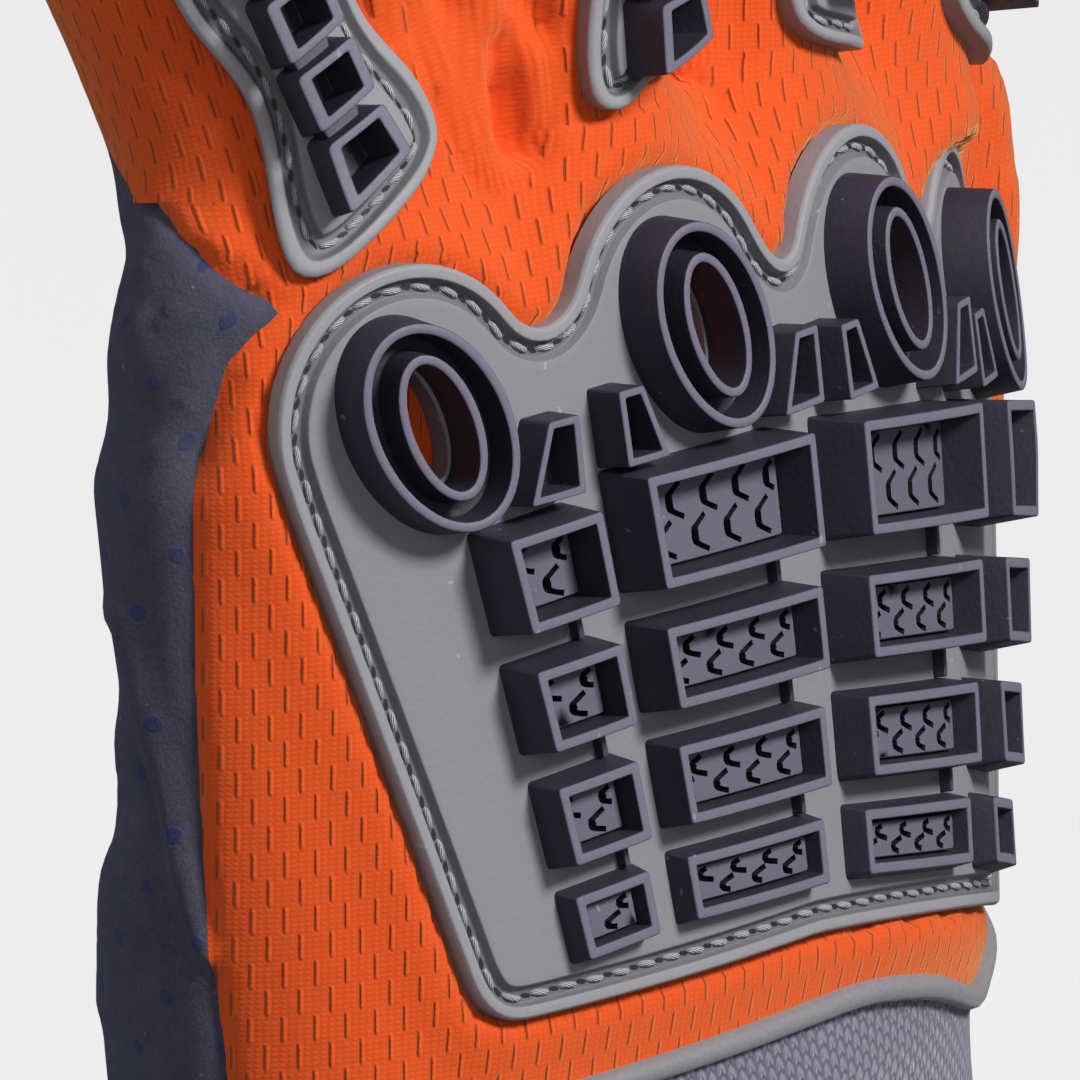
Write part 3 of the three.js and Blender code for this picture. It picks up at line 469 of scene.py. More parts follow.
def mesh_knit():
    """Columns of short slits, each column half a repeat from the next, on a fine knit, with a painted
    highlight beside each slit.
    """
    n = Nodes("mesh_knit", Roughness=0.8, Sheen_Weight=0.5, Sheen_Roughness=0.55, Specular_IOR_Level=0.15)
    n.shader.inputs["Sheen Tint"].default_value = rgb(255, 200, 135)
    x, y = n.cloth()
    high = n.math("MINIMUM", n.math("MAXIMUM", y - 5.0, 0.0), 19.0)
    across = x - y * 0.11 - high * high * (n.step(x, -26.0, -12.0) * 0.01)
    along = y + x * 0.06
    pitch, repeat = 1.03, 3.69
    odd, fx = n.cell(across, pitch)
    fx = fx * pitch
    fy = (n.math("FRACT", along / repeat + odd * 0.5) - 0.5) * repeat
    end = n.step(n.math("ABSOLUTE", fy), 0.98, 0.6)
    clear = 1.0 - n.attribute("plain")
    fade = 0.7 + n.noise(0.25, 2) * 0.6
    slit = n.math("MULTIPLY", n.step(n.math("ABSOLUTE", fx), 0.12, 0.04) * end, clear * fade, clamp=True)
    # A painted highlight along the puffed cloth beside each slit, which also lifts it in the bump.
    beside = n.step(n.math("ABSOLUTE", fx - 0.22), 0.2, 0.02) * end * clear
    knit = (n.sine(across, 0.515) + 1.2) * (n.sine(along, 0.36) + 1.2)
    ribs = n.attribute("plain") * n.sine(x, 0.62)
    large, fine, spots = n.noise(0.05, 3), n.noise(1.6, 4, roughness=0.6), n.noise(0.35, 3)
    colour = n.mix(large, rgb(212, 70, 16), rgb(222, 80, 22))
    # The light tint beside the slits is a painted highlight.
    for share, tint in (
        (fine * 0.4, (200, 58, 10)), (knit * 0.025, (246, 124, 70)), (beside * 0.22, (240, 104, 48)),
        (n.step(spots, 0.56, 0.7) * 0.25, (226, 84, 20)), (slit * 0.72, (140, 26, 3)),
    ):
        colour = n.mix(share, colour, rgb(*tint))
    height = slit * -0.6 + knit * 0.022 + beside * 0.35 + fine * 0.25 + ribs * 0.12
    return n.finish(colour, None, n.bump(height, 0.00028, 0.8))


def palm_fabric():
    """Suede with printed dots on a staggered lattice."""
    n = Nodes("palm_fabric", Roughness=0.95, Sheen_Weight=0.3, Sheen_Roughness=0.5, Specular_IOR_Level=0.12)
    n.shader.inputs["Sheen Tint"].default_value = rgb(150, 155, 190)
    x, y = n.cloth()
    pitch = 7.4
    odd, fy = n.cell(y, pitch / 2)
    fx = (n.math("FRACT", x / pitch + odd * 0.5) - 0.5) * pitch
    fy = fy * (pitch / 2)
    ragged = n.math("SQRT", fx * fx + fy * fy) + (n.noise(2.0, 3) - 0.5) * 0.5
    dot = n.step(ragged, 0.62, 0.42) * (0.35 + n.noise(0.15, 2) * 0.7)
    nap, fibre = n.noise(0.35, 5, roughness=0.7), n.noise(4.0, 4, roughness=0.7)
    colour = n.mix(nap, rgb(48, 48, 60), rgb(78, 76, 92))
    colour = n.mix(n.math("MULTIPLY", fibre ** 3.0, 1.2, clamp=True), colour, rgb(100, 99, 114))
    colour = n.mix(dot * 0.8, colour, rgb(30, 46, 100))
    colour = n.mix(n.specks(1.2, 0.75) * 0.4, colour, rgb(150, 150, 160))
    return n.finish(colour, 0.95 - dot * 0.4, n.bump(fibre * 0.5 + dot * 0.5 + nap * 0.8, 0.00025, 0.8))


def cuff_knit():
    """Columns of slanted stitches."""
    n = Nodes("cuff_knit", Roughness=0.9, Sheen_Weight=0.3, Sheen_Roughness=0.5, Specular_IOR_Level=0.2)
    x, y = n.cloth()
    odd, fx = n.cell(x, 1.0)
    at = y / 1.15 + n.math("ABSOLUTE", fx) * 0.7 + odd * 0.5
    wave, rib = n.sine(at, 1.0), n.math("COSINE", fx * (2 * math.pi))
    stitch = (wave + 1.0) * (rib + 1.2)
    colour = n.mix(n.noise(0.07, 3), rgb(128, 124, 144), rgb(150, 146, 166))
    colour = n.mix(n.step(stitch, 1.4, 0.1), colour, rgb(92, 88, 106))
    return n.finish(colour, None, n.bump(stitch * 0.3 + n.noise(3.0, 4, roughness=0.7) * 0.3, 0.00035, 0.9))


def tape():
    n = Nodes("tape", Roughness=0.6, Sheen_Weight=0.15, Specular_IOR_Level=0.35)
    fine = n.noise(2.5, 5, roughness=0.6)
    return n.finish(n.mix(fine, rgb(110, 109, 113), rgb(138, 137, 141)), None, n.bump(fine, 0.0001, 0.6))


def thread():
    """Twisted thread, with painted shade where the vertex attribute marks a needle hole."""
    n = Nodes("thread", Roughness=0.55, Specular_IOR_Level=0.4)
    x, y = n.cloth()
    twist = n.math("SINE", x * 14.0 + y * 9.0)
    colour = n.mix((twist + 1.0) * 0.5, rgb(124, 123, 128), rgb(188, 187, 191))
    # Painted shade in the needle holes.
    return n.finish(n.mix(n.attribute("tone"), colour, rgb(34, 33, 36)), None, n.bump(twist, 0.00005, 0.6))


DARK, GREY, MESH, PALM = dark_rubber(), grey_rubber(), mesh_knit(), palm_fabric()
CUFF, TAPE, THREAD = cuff_knit(), tape(), thread()

# Hand guard

RINGS = {"little": (-33.2, 7.9), "ring": (-8.7, 9.6), "middle": (15.1, 7.7), "index": (36.6, 2.6)}
RING_OUTER, RING_INNER = (5.15, 7.55, 25), (2.85, 5.2, 17)
RING_HEIGHT, RING_RIM, RING_FLOOR, RING_WALL = 3.15, 0.65, 0.8, 0.15
DRAFT = 0.4


def oval(centre, half, grow, sides=96):
    tilt = math.radians(half[2])
    a = np.linspace(0, 2 * np.pi, sides, endpoint=False)
    x, y = (half[0] + grow) * np.cos(a), (half[1] + grow) * np.sin(a)
    return np.stack([
        centre[0] + x * math.cos(tilt) - y * math.sin(tilt),
        centre[1] + x * math.sin(tilt) + y * math.cos(tilt),
    ], 1)


def build_rings():
    rows = [  # which oval, growth, height, painted light level (1 a lit top, below 0 painted shade)
        ("o", DRAFT, -0.05, 0), ("o", 0, RING_HEIGHT, 1), ("o", -RING_RIM, RING_HEIGHT, -0.3),
        ("o", -RING_RIM - RING_WALL, RING_FLOOR, -0.8),
        ("i", 0.2, RING_FLOOR, -0.3), ("i", 0, RING_HEIGHT, 1),
        ("i", -RING_RIM, RING_HEIGHT, -0.3), ("i", -RING_RIM - RING_WALL, -1.5, -0.6),
    ]
    for finger, centre in RINGS.items():
        halves = {"o": np.array(RING_OUTER), "i": np.array(RING_INNER)}
        ovals = [oval(centre, halves[row[0]], row[1]) for row in rows]
        loops = []
        for k, row in enumerate(rows):
            if k in (0, len(rows) - 1):
                loops.append((ovals[k], row[2], row[3]))
                continue
            before, after = rows[k - 1], rows[k + 1]
            for t in (-1, -0.4, 0.4, 1):
                other, flat = (before, ovals[k - 1]) if t < 0 else (after, ovals[k + 1])
                run = np.linalg.norm(flat - ovals[k], axis=1).mean() + abs(other[2] - row[2])
                share = 0.14 * abs(t) / run
                inner = 0.05 if abs(t) < 1 else 0.0
                height = row[2] + (other[2] - row[2]) * share
                height -= inner * (1 if row[2] > 2 else -1)
                tone = before[3] if t < 0 else row[3]
                loops.append((ovals[k] + (flat - ovals[k]) * share, height, tone))
        parts = Parts()
        moulded(parts, loops, on_back, closed=(False, False))
        mesh_object(f"knuckle_ring_{finger}", parts, DARK, "dark_rubber", [f"knuckle_ring_{finger}"])


SCALLOP, VALLEY = 10.2, 2.4
GUARD = {
    "little_top": (-42.7, 3.8), "little_side": (-39.6, -8), "little_end": (-34.1, -28.9),
    "little_corner": (-33.3, -32.3), "end_little": (-30.4, -32.2), "end_middle": (-2, -32.8),
    "end_bend": (12, -34.3), "end_index": (31.0, -38.1), "index_corner": (36.6, -38.6),
    "index_end": (38.2, -34.0), "index_side": (44.6, -8), "index_top": (46.2, -1.0),
}
SCALLOP_ENDS = [(8, 139), (36, 157), (29, 158), (28, 184)]


def guard_outline():
    g = {key: np.array(value, float) for key, value in GUARD.items()}
    points = [g["little_end"]]

    def line(b, count=20):
        a = points[-1]
        points.extend(a + (b - a) * k / count for k in range(1, count + 1))

    def curve(b, c, count=16):
        a = points[-1]
        points.extend(bowed(a, b, c, k / count) for k in range(1, count + 1))

    curve(g["little_corner"], g["end_little"])
    line(g["end_middle"])
    curve(g["end_bend"], g["end_index"])
    curve(g["index_corner"], g["index_end"])
    line(g["index_side"])
    line(g["index_top"])
    for i, centre in enumerate(reversed(list(RINGS.values()))):
        low, high = (math.radians(a) for a in SCALLOP_ENDS[i])
        angles = np.linspace(low, high, 30)
        rim = np.array(centre) + SCALLOP * np.stack([np.cos(angles), np.sin(angles)], 1)
        if i:
            start = points[-1]
            dip = np.array([(start[0] + rim[0][0]) / 2, min(start[1], rim[0][1]) - VALLEY])
            curve(dip, rim[0])
        points.extend(rim)
    line(g["little_top"])
    line(g["little_side"])
    line(g["little_end"])
    return eased(resample(points, 0.7), 3)


GUARD_OUTLINE = guard_outline()
LIP_PROFILE = [  # inset, height, painted light level of what follows (lighter on the lit lip, darker as painted shade in the groove)
    (-0.35, -1.6, 0.8), (-0.35, -0.15, 1), (-0.15, 0.15, 1), (0.55, 0.15, 0.3), (0.68, -0.62, 0.0),
    (1.6, -0.62, 0.3), (1.9, 0, 0.7), (2.5, 0, 0.7),
]


def build_guard_base():
    loops = [(inwards(GUARD_OUTLINE, a), h, t) for a, h, t in soften(LIP_PROFILE, 0.11)]
    holes = [oval(c, RING_INNER, -RING_RIM - 0.4, 40)[::-1] for c in RINGS.values()]
    parts = Parts()
    moulded(parts, loops, on_back, holes=holes, spacing=1.8)
    mesh_object("hand_guard_base", parts, GREY, "grey_rubber", ["hand_guard_base"])
    stitching("hand_guard_stitching", inwards(GUARD_OUTLINE, 1.15), on_back, -0.62, 1.0)


HOLE_HALF = 0.42, 0.17  # half the length and half the width of a needle hole's dark disc of painted shade


def stitching(name, outline, place, low, high, pitch=2.35, length=1.72, radius=0.19):
    """Thread segments along a closed flat outline with a flat dark disc of painted shade for a needle hole
    between each two of them.
    The outline is laid at the low height, and the high one gives the way up."""
    path = place(*outline.T, low)
    out = place(*outline.T, high) - path
    steps = np.linalg.norm(np.roll(path, -1, 0) - path, axis=1)
    total = steps.sum()
    count = int(total / pitch)
    at = np.concatenate([[0], np.cumsum(steps)])
    ring, outs = np.concatenate([path, path[:1]]), np.concatenate([out, out[:1]])
    parts, flats = Parts(), []

    def sample(s):
        return interpolated(s % total, at, ring), unit(interpolated(s % total, at, outs))

    sides, rows = 8, 7
    a = np.linspace(0, 2 * np.pi, sides, endpoint=False)
    t = np.linspace(-1, 1, rows)
    for k in range(count):
        start = total * k / count
        line, up = sample(np.linspace(start, start + length, rows))
        line = line + up * (0.12 - 0.3 * t ** 4)[:, None]
        side = np.cross(unit(np.gradient(line, axis=0)), up)
        line = line + side * (0.12 * t + 0.05 * np.sin(k * 1.7))[:, None]
        size = radius * (1 - 0.35 * t ** 4)[:, None, None]
        rings = line[:, None] + size * (side[:, None] * np.cos(a)[None, :, None] * 1.2
                                        + up[:, None] * np.sin(a)[None, :, None])
        parts.add(rings, tube_faces(rows, sides))
        flats.append(np.stack([np.repeat(np.linspace(0, length, rows), sides), np.tile(a, rows)], 1))
        middle = start + length + 0.5 * (total / count - length)
        spot, up = sample(np.array([middle - 0.1, middle, middle + 0.1]))
        way = spot[2] - spot[0]
        way /= np.linalg.norm(way)
        over = np.cross(way, up[1])
        way, over = way + 0.22 * over, over - 0.22 * way
        # A flat disc just over the surface, marked to be painted dark as the shade in a needle hole.
        rim = spot[1] + up[1] * 0.03
        rim = rim + HOLE_HALF[0] * np.cos(a)[:, None] * way + HOLE_HALF[1] * np.sin(a)[:, None] * over
        parts.add(rim, [tuple(range(sides))], 1.0)
        flats.append(np.zeros((sides, 2)))
    thing = mesh_object(name, parts, THREAD, "grey_rubber", angle=0)
    layer = thing.data.uv_layers.new(name="cloth")
    corners = read(thing.data.loops, "vertex_index", int)
    layer.data.foreach_set("uv", np.concatenate(flats)[corners].astype(np.float32).ravel())


# Frames

FAN, FAN_LEVEL, LEAN = 0.0064, -10.0, 0.043
ARCH = (-0.0953, -0.00261, 1.15e-5)
COLUMNS = [  # left, right, how much lower the top of the first row is
    (-28.7, -21.5, 1.2), (-17.5, -1.7, 0), (3.8, 20.5, 0), (25.4, 32.6, 0),
]
ROWS = [  # top, bottom, height, height of the tiles
    (0.6, -7.0, 4.2, 1.45), (-9.7, -15.2, 3.55, 1.6), (-17.8, -23.1, 2.75, 1.15), (-25.4, -29.7, 1.75, 0.75),
]
FRAME_RIM = 0.7


def laid(across, along):
    """A place on the fanned and arched grid of frames."""
    rise = along - FAN_LEVEL
    return np.array([
        across * (1 + FAN * rise) + LEAN * rise,
        along + ARCH[0] * across + ARCH[1] * across ** 2 + ARCH[2] * across ** 3,
    ])


def shrink(corners, by):
    """Four corners moved inwards along both of their sides."""
    out = []
    for i, c in enumerate(corners):
        a, b = corners[(i + 3) % 4] - c, corners[(i + 1) % 4] - c
        out.append(c + a / np.linalg.norm(a) * by + b / np.linalg.norm(b) * by)
    return out


def box_loop(corners, radius, counts, arc_steps=3):
    """Four corners as a closed loop with rounded corners and a number of points on each side."""
    points = []
    for i, c in enumerate(corners):
        a, b = corners[(i + 3) % 4] - c, corners[(i + 1) % 4] - c
        start, end = c + a / np.linalg.norm(a) * radius, c + b / np.linalg.norm(b) * radius
        points += [bowed(start, c, end, k / arc_steps) for k in range(arc_steps + 1)]
        d = corners[(i + 1) % 4]
        stop = d + (c - d) / np.linalg.norm(c - d) * radius
        points += [end + (stop - end) * k / counts[i] for k in range(1, counts[i])]
    return np.array(points)


def side_counts(corners, step):
    return [max(1, int(round(np.linalg.norm(corners[(i + 1) % 4] - corners[i]) / step))) for i in range(4)]


def block(parts, corners, height, inset, tone, radius, step, place):
    """A low block with rounded edges."""
    counts = side_counts(corners, step)
    # The block's top gets the given level of painted light.
    profile = soften([(0, -0.05, 0), (0.05, height, tone), (inset, height, tone)], radius)
    moulded(parts, [(box_loop(shrink(corners, a), 0.12, counts), h, t) for a, h, t in profile], place)


def open_box(parts, corners, height, rim, floor, place, draft=DRAFT, base=-0.05, cut=0.3, radius=0.11):
    """A frame: a wall round four corners, and a floor in it."""
    counts = side_counts(corners, 1.3)
    # Painted light and shade: the top of the wall lighter as lit, the inside of the wall and the floor darker
    # as painted shade.
    profile = [(-draft, base, 0), (0, height, 1), (rim, height, -0.3), (rim + 0.15, floor, -0.8),
               (rim + 0.4, floor, -0.8)]
    loops = []
    for inset, h, tone in soften(profile, radius):
        edge = max(0.12, cut - 0.35 * max(0, inset) + 0.3 * max(0, -inset))
        loops.append((box_loop(shrink(corners, inset), edge, counts), h, tone))
    moulded(parts, loops, place)


GROOVE = np.array([(1.2, 1.0), (0.3, 0.5), (0.02, 0.3), (0.0, -0.36), (0.28, -0.6), (1.25, -1.0)])


def groove(centre, half):
    """The middle line of a bracket-shaped groove."""
    line = resample(GROOVE * (1, half), 0.18, closed=False)[::-1]
    return eased(line, 1, closed=False) + centre


def groove_outline(line, wide=0.36):
    """A closed outline round a groove's line, thinner where the line runs across."""
    way = unit(np.gradient(line, axis=0))
    side = np.stack([-way[:, 1], way[:, 0]], 1)
    half = (wide * (0.55 + 0.45 * smooth((np.abs(way[:, 1]) - 0.55) / 0.4)))[:, None]
    return np.concatenate([line + side * half, (line - side * half)[::-1]])


def tile_plate(parts, corners, top, floor, place):
    """The raised plate in a frame's recess, cut by two staggered rows of grooves."""
    inner = shrink(corners, FRAME_RIM + 0.28)
    wide = np.linalg.norm(inner[1] - inner[0])
    tall = np.linalg.norm(inner[3] - inner[0])

    def lay(a, b):
        s, t = a / wide, b / tall
        return (np.outer((1 - s) * (1 - t), inner[0]) + np.outer(s * (1 - t), inner[1])
                + np.outer(s * t, inner[2]) + np.outer((1 - s) * t, inner[3]))

    pitch, margin = 3.3, 0.16
    half = tall * 0.215
    holes = []
    for level, shift in ((tall * 0.735, (wide - 1.2) % pitch), (tall * 0.285, (wide - 2.5) % pitch)):
        for k in range(int(wide / pitch) + 2):
            line = groove((shift - pitch + k * pitch, level), half)
            keep = np.flatnonzero((line[:, 0] > margin + 0.25) & (line[:, 0] < wide - margin - 0.25)
                                  & (line[:, 1] > margin + 0.1) & (line[:, 1] < tall - margin - 0.1))
            if len(keep) >= 7:
                holes.append(lay(*groove_outline(line[keep[0]:keep[-1] + 1]).T))
    counts = side_counts(inner, 1.2)
    # The plate's top edge is painted lighter as lit, and the groove walls darker as painted shade.
    loops = [(box_loop(inner, 0.2, counts), h, t) for h, t in ((floor, 0), (top - 0.08, 0.4))]
    loops.append((box_loop(shrink(inner, 0.08), 0.2, counts), top, 0.8))
    moulded(parts, loops, place, closed=(False, True), holes=holes, spacing=1.4)
    for hole in holes:
        parts.add(np.concatenate([place(*hole.T, h) for h in (top, floor)]), bands(2, len(hole)), -0.6)


def build_frames():
    for r, (top, bottom, height, plate) in enumerate(ROWS):
        for c, (left, right, short) in enumerate(COLUMNS):
            high = top - (0 if r else short)
            corners = [laid(left, bottom), laid(right, bottom), laid(right, high), laid(left, high)]
            floor = 0.5 if r < 3 else 0.15
            parts = Parts()
            open_box(parts, corners, height, FRAME_RIM, floor, on_back)
            tile_plate(parts, corners, plate, floor, on_back)
            if r < 3 and c < 3:
                edge = right - 0.6
                below = ROWS[r + 1][0] + DRAFT
                rib = [laid(edge - 0.6, below), laid(edge, below),
                       laid(edge, bottom + 0.3), laid(edge - 0.6, bottom + 0.3)]
                block(parts, rib, 0.8, 0.2, 0.3, 0.1, 1.3, on_back)
            name = f"frame_row{r + 1}_column{c + 1}"
            mesh_object(name, parts, DARK, "dark_rubber", [name], angle=32)


# Which ring of the gap it is measured from, left and right below, left and right above, bottom, top
TAPERED = {"a": (0, 6.2, 10.8, 8.4, 11.0, -6.6, -1.4), "b": (1, -9.8, -5.9, -9.9, -7.6, -7.1, -2.0)}
TAPERED_LIFT = {"1b": -0.4, "2a": -0.9, "2b": 0.9, "3a": -2.0, "3b": 2.3}


def build_tapered():
    centres = list(RINGS.values())
    for gap in range(3):
        for mark, (which, left, right, top_left, top_right, bottom, top) in TAPERED.items():
            u, v = centres[gap + which]
            v += TAPERED_LIFT.get(f"{gap + 1}{mark}", 0)
            corners = [np.array(p) for p in (
                (u + left, v + bottom), (u + right, v + bottom),
                (u + top_right, v + top), (u + top_left, v + top))]
            parts = Parts()
            open_box(parts, corners, 2.9, 0.55, 0.35, on_back, draft=0.12, cut=0.25)
            name = f"tapered_frame_{gap + 1}{mark}"
            mesh_object(name, parts, DARK, "dark_rubber", [name], angle=32)


# Fingers

FINGERS = {  # root, lean, rise, radius, length, bend at each joint
    "little": (-33.8, -14, 0, 9.7, 58, (8, 14, 8)),
    "ring": (-8.2, -1, 1, 10.4, 73, (0, 14, 9)),
    "middle": (16.3, 5, 2, 10.5, 82, (0, 12, 8)),
    "index": (40.4, 11, 14, 10.6, 72, (10, 12, 8)),
}
FINGER_START, ROOT_LEVEL = -6.0, 24.0
ROOT_Z = KNUCKLE_Z + ROOT_LEVEL
ROOT_LENGTH = ROOT_LEVEL - FINGER_START
JOINTS, TIP_TAPER, PANEL_EDGE = (0.26, 0.56, 0.8), 0.86, 0.45


def turned(v, axis, angle):
    cosine = math.cos(angle)
    return v * cosine + np.cross(axis, v) * math.sin(angle) + axis * axis.dot(v) * (1 - cosine)


RAISED = {"index": 2.2}
STEP = 2.0


class Finger:
    """A finger's bent middle line, with its ways along, across and out at every step."""

    def __init__(self, root, lean, rise, radius, length, bend, raised=0.0):
        self.radius, self.full = radius, length + ROOT_LENGTH
        angle = float(bend_angle(root))
        out = np.array([math.sin(angle), -math.cos(angle), 0.0])
        level = np.array([math.cos(angle), math.sin(angle), 0.0])
        lean, rise = math.radians(lean), math.radians(rise)
        along = np.array([0, 0, math.cos(lean)]) + level * math.sin(lean)
        axis = np.cross(along, out)
        along, out = turned(along, axis, rise), turned(out, axis, rise)
        across = np.cross(along, out)
        middle = on_back(root, FINGER_START, raised - FABRIC_DEPTH - radius)
        middle = middle - level * ROOT_LENGTH * math.tan(lean) - out * 0.6 * ROOT_LENGTH * math.tan(rise)
        spread, rows = 0.12 * self.full, []
        for at in np.arange(0, self.full + 12.01, STEP):
            rows.append((middle.copy(), along.copy(), across.copy(), out.copy()))
            curl = sum(bend[k] * max(0, 1 - abs(at + 1 - joint * self.full) / spread) * 2 / spread
                       for k, joint in enumerate(JOINTS))
            middle = middle + along
            along, out = (turned(w, across, math.radians(-curl)) for w in (along, out))
            middle = middle + along
        self.middle, self.along, self.across, self.out = (np.array(w) for w in zip(*rows))
        self.steps = np.arange(len(rows)) * STEP

    def at(self, along):
        return [interpolated(along, self.steps, table)
                for table in (self.middle, self.along, self.across, self.out)]

    def radius_at(self, along):
        return self.radius * (1 + (TIP_TAPER - 1) * along / self.full)

    def on(self, across, along, height):
        """Places over the finger's round surface."""
        across, along, height = np.broadcast_arrays(*(np.asarray(a, float) for a in (across, along, height)))
        middle, _, side, out = self.at(along)
        radius = self.radius_at(along)
        angle = across / radius
        reach = (radius + height)[..., None]
        return middle + reach * (side * np.sin(angle)[..., None] + out * np.cos(angle)[..., None])


FINGER = {name: Finger(*row, RAISED.get(name, 0.0)) for name, row in FINGERS.items()}


def tube_loops(stations, sides):
    """Loops of points round stations (middle, across, out, along, radius), with a domed end."""
    a = np.linspace(0, 2 * np.pi, sides, endpoint=False)

    def ring(across, out):
        return np.outer(np.sin(a), across) + np.outer(np.cos(a), out)

    loops = [m + r * ring(c, o) for m, c, o, _, r in stations]
    m, c, o, w, r = stations[-1]
    for degrees in (12, 24, 36, 48, 60, 72, 82):
        t = math.radians(degrees)
        loops.append(m + w * r * math.sin(t) + r * math.cos(t) * ring(c, o))
    return loops


def lofted(parts, loops):
    parts.add(np.concatenate(loops), tube_faces(len(loops), len(loops[0])))


# Fabric

HAND = np.array([  # level, little edge, its radius, index edge's radius, bulge, depth of the palm
    (-46, 36.0, 15.0, 14, -1.2, 39.5),
    (-32, 38.5, 13.5, 14, -0.8, 39),
    (-20, 41.0, 11.2, 13, 1.0, 37),
    (-8, 43.0, 8.8, 12, 2.8, 35),
    (6, 43.5, 8.3, 11, 5.0, 32),
    (20, 40.0, 6.5, 9, 6.4, 27),
])
CUFF_ROWS = np.array([  # z, half width, half depth, share of the hand's outline
    (0, 37.5, 27, 0), (22, 35.5, 24.5, 0), (42, 34.5, 22, 0.35), (58, 34.5, 20, 0.8), (66, 34.5, 20, 1),
])
BULGE_WAY, BULGE_RUN, EDGE_TURN = np.array([0.56, -0.83]), 5.0, math.radians(118)
CROWN, CROWN_START = 9.0, 124.0
HAND_LEVEL = 66.0  # from here up, the outline is the hand's alone
BACK_COUNT, RUN_COUNT, EDGE_COUNT, PALM_COUNT = 66, 5, 22, 44


def guard_edge(v):
    return 38.6 + 8.0 * np.clip((v + 36.5) / 36.0, 0, 1)


def hand_section(v):
    """The outline of the hand at one level, from the little edge over the back and the palm."""
    little, little_round, index_round, bulge, depth = interpolated(v, HAND[:, 0], HAND[:, 1:])
    index = guard_edge(v)
    flat = on_back(np.linspace(-little, index, BACK_COUNT), v, -FABRIC_DEPTH)[:, :2]
    share = np.arange(1, RUN_COUNT + 1) / RUN_COUNT
    run = on_back(index + BULGE_RUN * share, v, -FABRIC_DEPTH)[:, :2] + np.outer(share * bulge, BULGE_WAY)

    def edge(u, radius, way, shift):
        start = float(bend_angle(u))
        middle = on_back(u, v, -FABRIC_DEPTH)[:2] + radius * np.array([-math.sin(start), math.cos(start)])
        angle = start + way * EDGE_TURN * np.arange(1, EDGE_COUNT + 1) / EDGE_COUNT
        return middle + BULGE_WAY * shift + radius * np.stack([np.sin(angle), -np.cos(angle)], 1)

    index_edge = edge(index + BULGE_RUN, index_round, 1, bulge)
    little_edge = edge(-little, little_round, -1, 0.0)
    a, d = index_edge[-1], little_edge[-1]
    deep = CREST_Y + depth
    b = np.array([a[0] + (d[0] - a[0]) * 0.25, deep + 2])
    c = np.array([a[0] + (d[0] - a[0]) * 0.75, deep + 1])
    t = (np.arange(1, PALM_COUNT) / PALM_COUNT)[:, None]
    palm = a * (1 - t) ** 3 + 3 * b * t * (1 - t) ** 2 + 3 * c * t * t * (1 - t) + d * t ** 3
    return np.concatenate([flat, run, index_edge, palm, little_edge[::-1]])


def body_section(z):
    """The hand's outline, blended into an ellipse towards the end of the cuff."""
    hand = hand_section(max(z, HAND_LEVEL) - KNUCKLE_Z)
    if z >= HAND_LEVEL:
        return hand
    wide, deep, share = interpolated(z, CUFF_ROWS[:, 0], CUFF_ROWS[:, 1:])
    angle = np.arctan2(hand[:, 1] / deep, hand[:, 0] / wide)
    ellipse = np.stack([wide * np.cos(angle), deep * np.sin(angle)], 1)
    return ellipse * (1 - share) + hand * share


BODY_LEVELS = np.arange(-6.0, 130.01, 2.0)
BODY_SECTIONS = np.array([body_section(z) for z in BODY_LEVELS])


def rings_at(z):
    """The outlines of the hand at some heights."""
    level = np.clip((z - BODY_LEVELS[0]) / 2.0, 0, len(BODY_LEVELS) - 1.001)
    low = level.astype(int)
    share = (level - low)[:, None, None]
    return BODY_SECTIONS[low] * (1 - share) + BODY_SECTIONS[low + 1] * share


def body_loops():
    """The hand's outlines from the wrist up, closed by a crown under the fingers."""
    loops = [np.column_stack([s, np.full(len(s), z)])
             for s, z in zip(BODY_SECTIONS, BODY_LEVELS) if z <= CROWN_START]
    crown = loops[-1]
    middle = crown.mean(0)
    for t in range(12, 91, 13):
        share, lift = 1 - math.cos(math.radians(t)), CROWN * math.sin(math.radians(t))
        wide, deep = 1 - 0.1 * share, 1 - 0.6 * share
        x, y = middle[0] + (crown[:, 0] - middle[0]) * wide, middle[1] + (crown[:, 1] - middle[1]) * deep
        loops.append(np.column_stack([x, y, crown[:, 2] + lift]))
    return loops


THUMB_START, THUMB_END = np.array([24.0, 2, 62]), np.array([63.0, 38, 121])
THUMB_OUT = np.array([0.62, -0.78, 0]) / np.linalg.norm([0.62, -0.78])
THUMB_RADII, THUMB_ROOT, THUMB_BEND = [9.5, 12.4, 13.4, 13.2, 12.7, 12.1, 11.3], 38, 16


def thumb_rows():
    along = (THUMB_END - THUMB_START) / np.linalg.norm(THUMB_END - THUMB_START)
    across = np.cross(along, THUMB_OUT)
    across /= np.linalg.norm(across)
    out = np.cross(across, along)
    length, steps = np.linalg.norm(THUMB_END - THUMB_START), len(THUMB_RADII) - 1
    middle, rows = THUMB_START.copy(), []
    for _ in THUMB_RADII:
        rows.append(np.array([middle.copy(), along.copy(), across.copy(), out.copy()]))
        middle = middle + along * length / steps
        along, out = (turned(w, across, math.radians(-THUMB_BEND / steps)) for w in (along, out))
    return np.array(rows)


THUMB_ROWS = thumb_rows()
THUMB_STEPS = np.linspace(0, np.linalg.norm(THUMB_END - THUMB_START), len(THUMB_RADII))


class Thumb:
    """The same questions as a finger answers, for the thumb."""
    steps, full = np.arange(0, THUMB_STEPS[-1] + 14, STEP), float(THUMB_STEPS[-1])

    def __init__(self):
        past = np.maximum(0, self.steps - self.full)[:, None]
        rows = [interpolated(self.steps, THUMB_STEPS, THUMB_ROWS[:, r]) for r in range(4)]
        self.middle, self.along, self.across, self.out = rows
        self.middle = self.middle + self.along * past

    def radius_at(self, along):
        return np.interp(along, THUMB_STEPS, THUMB_RADII)


THUMB = Thumb()


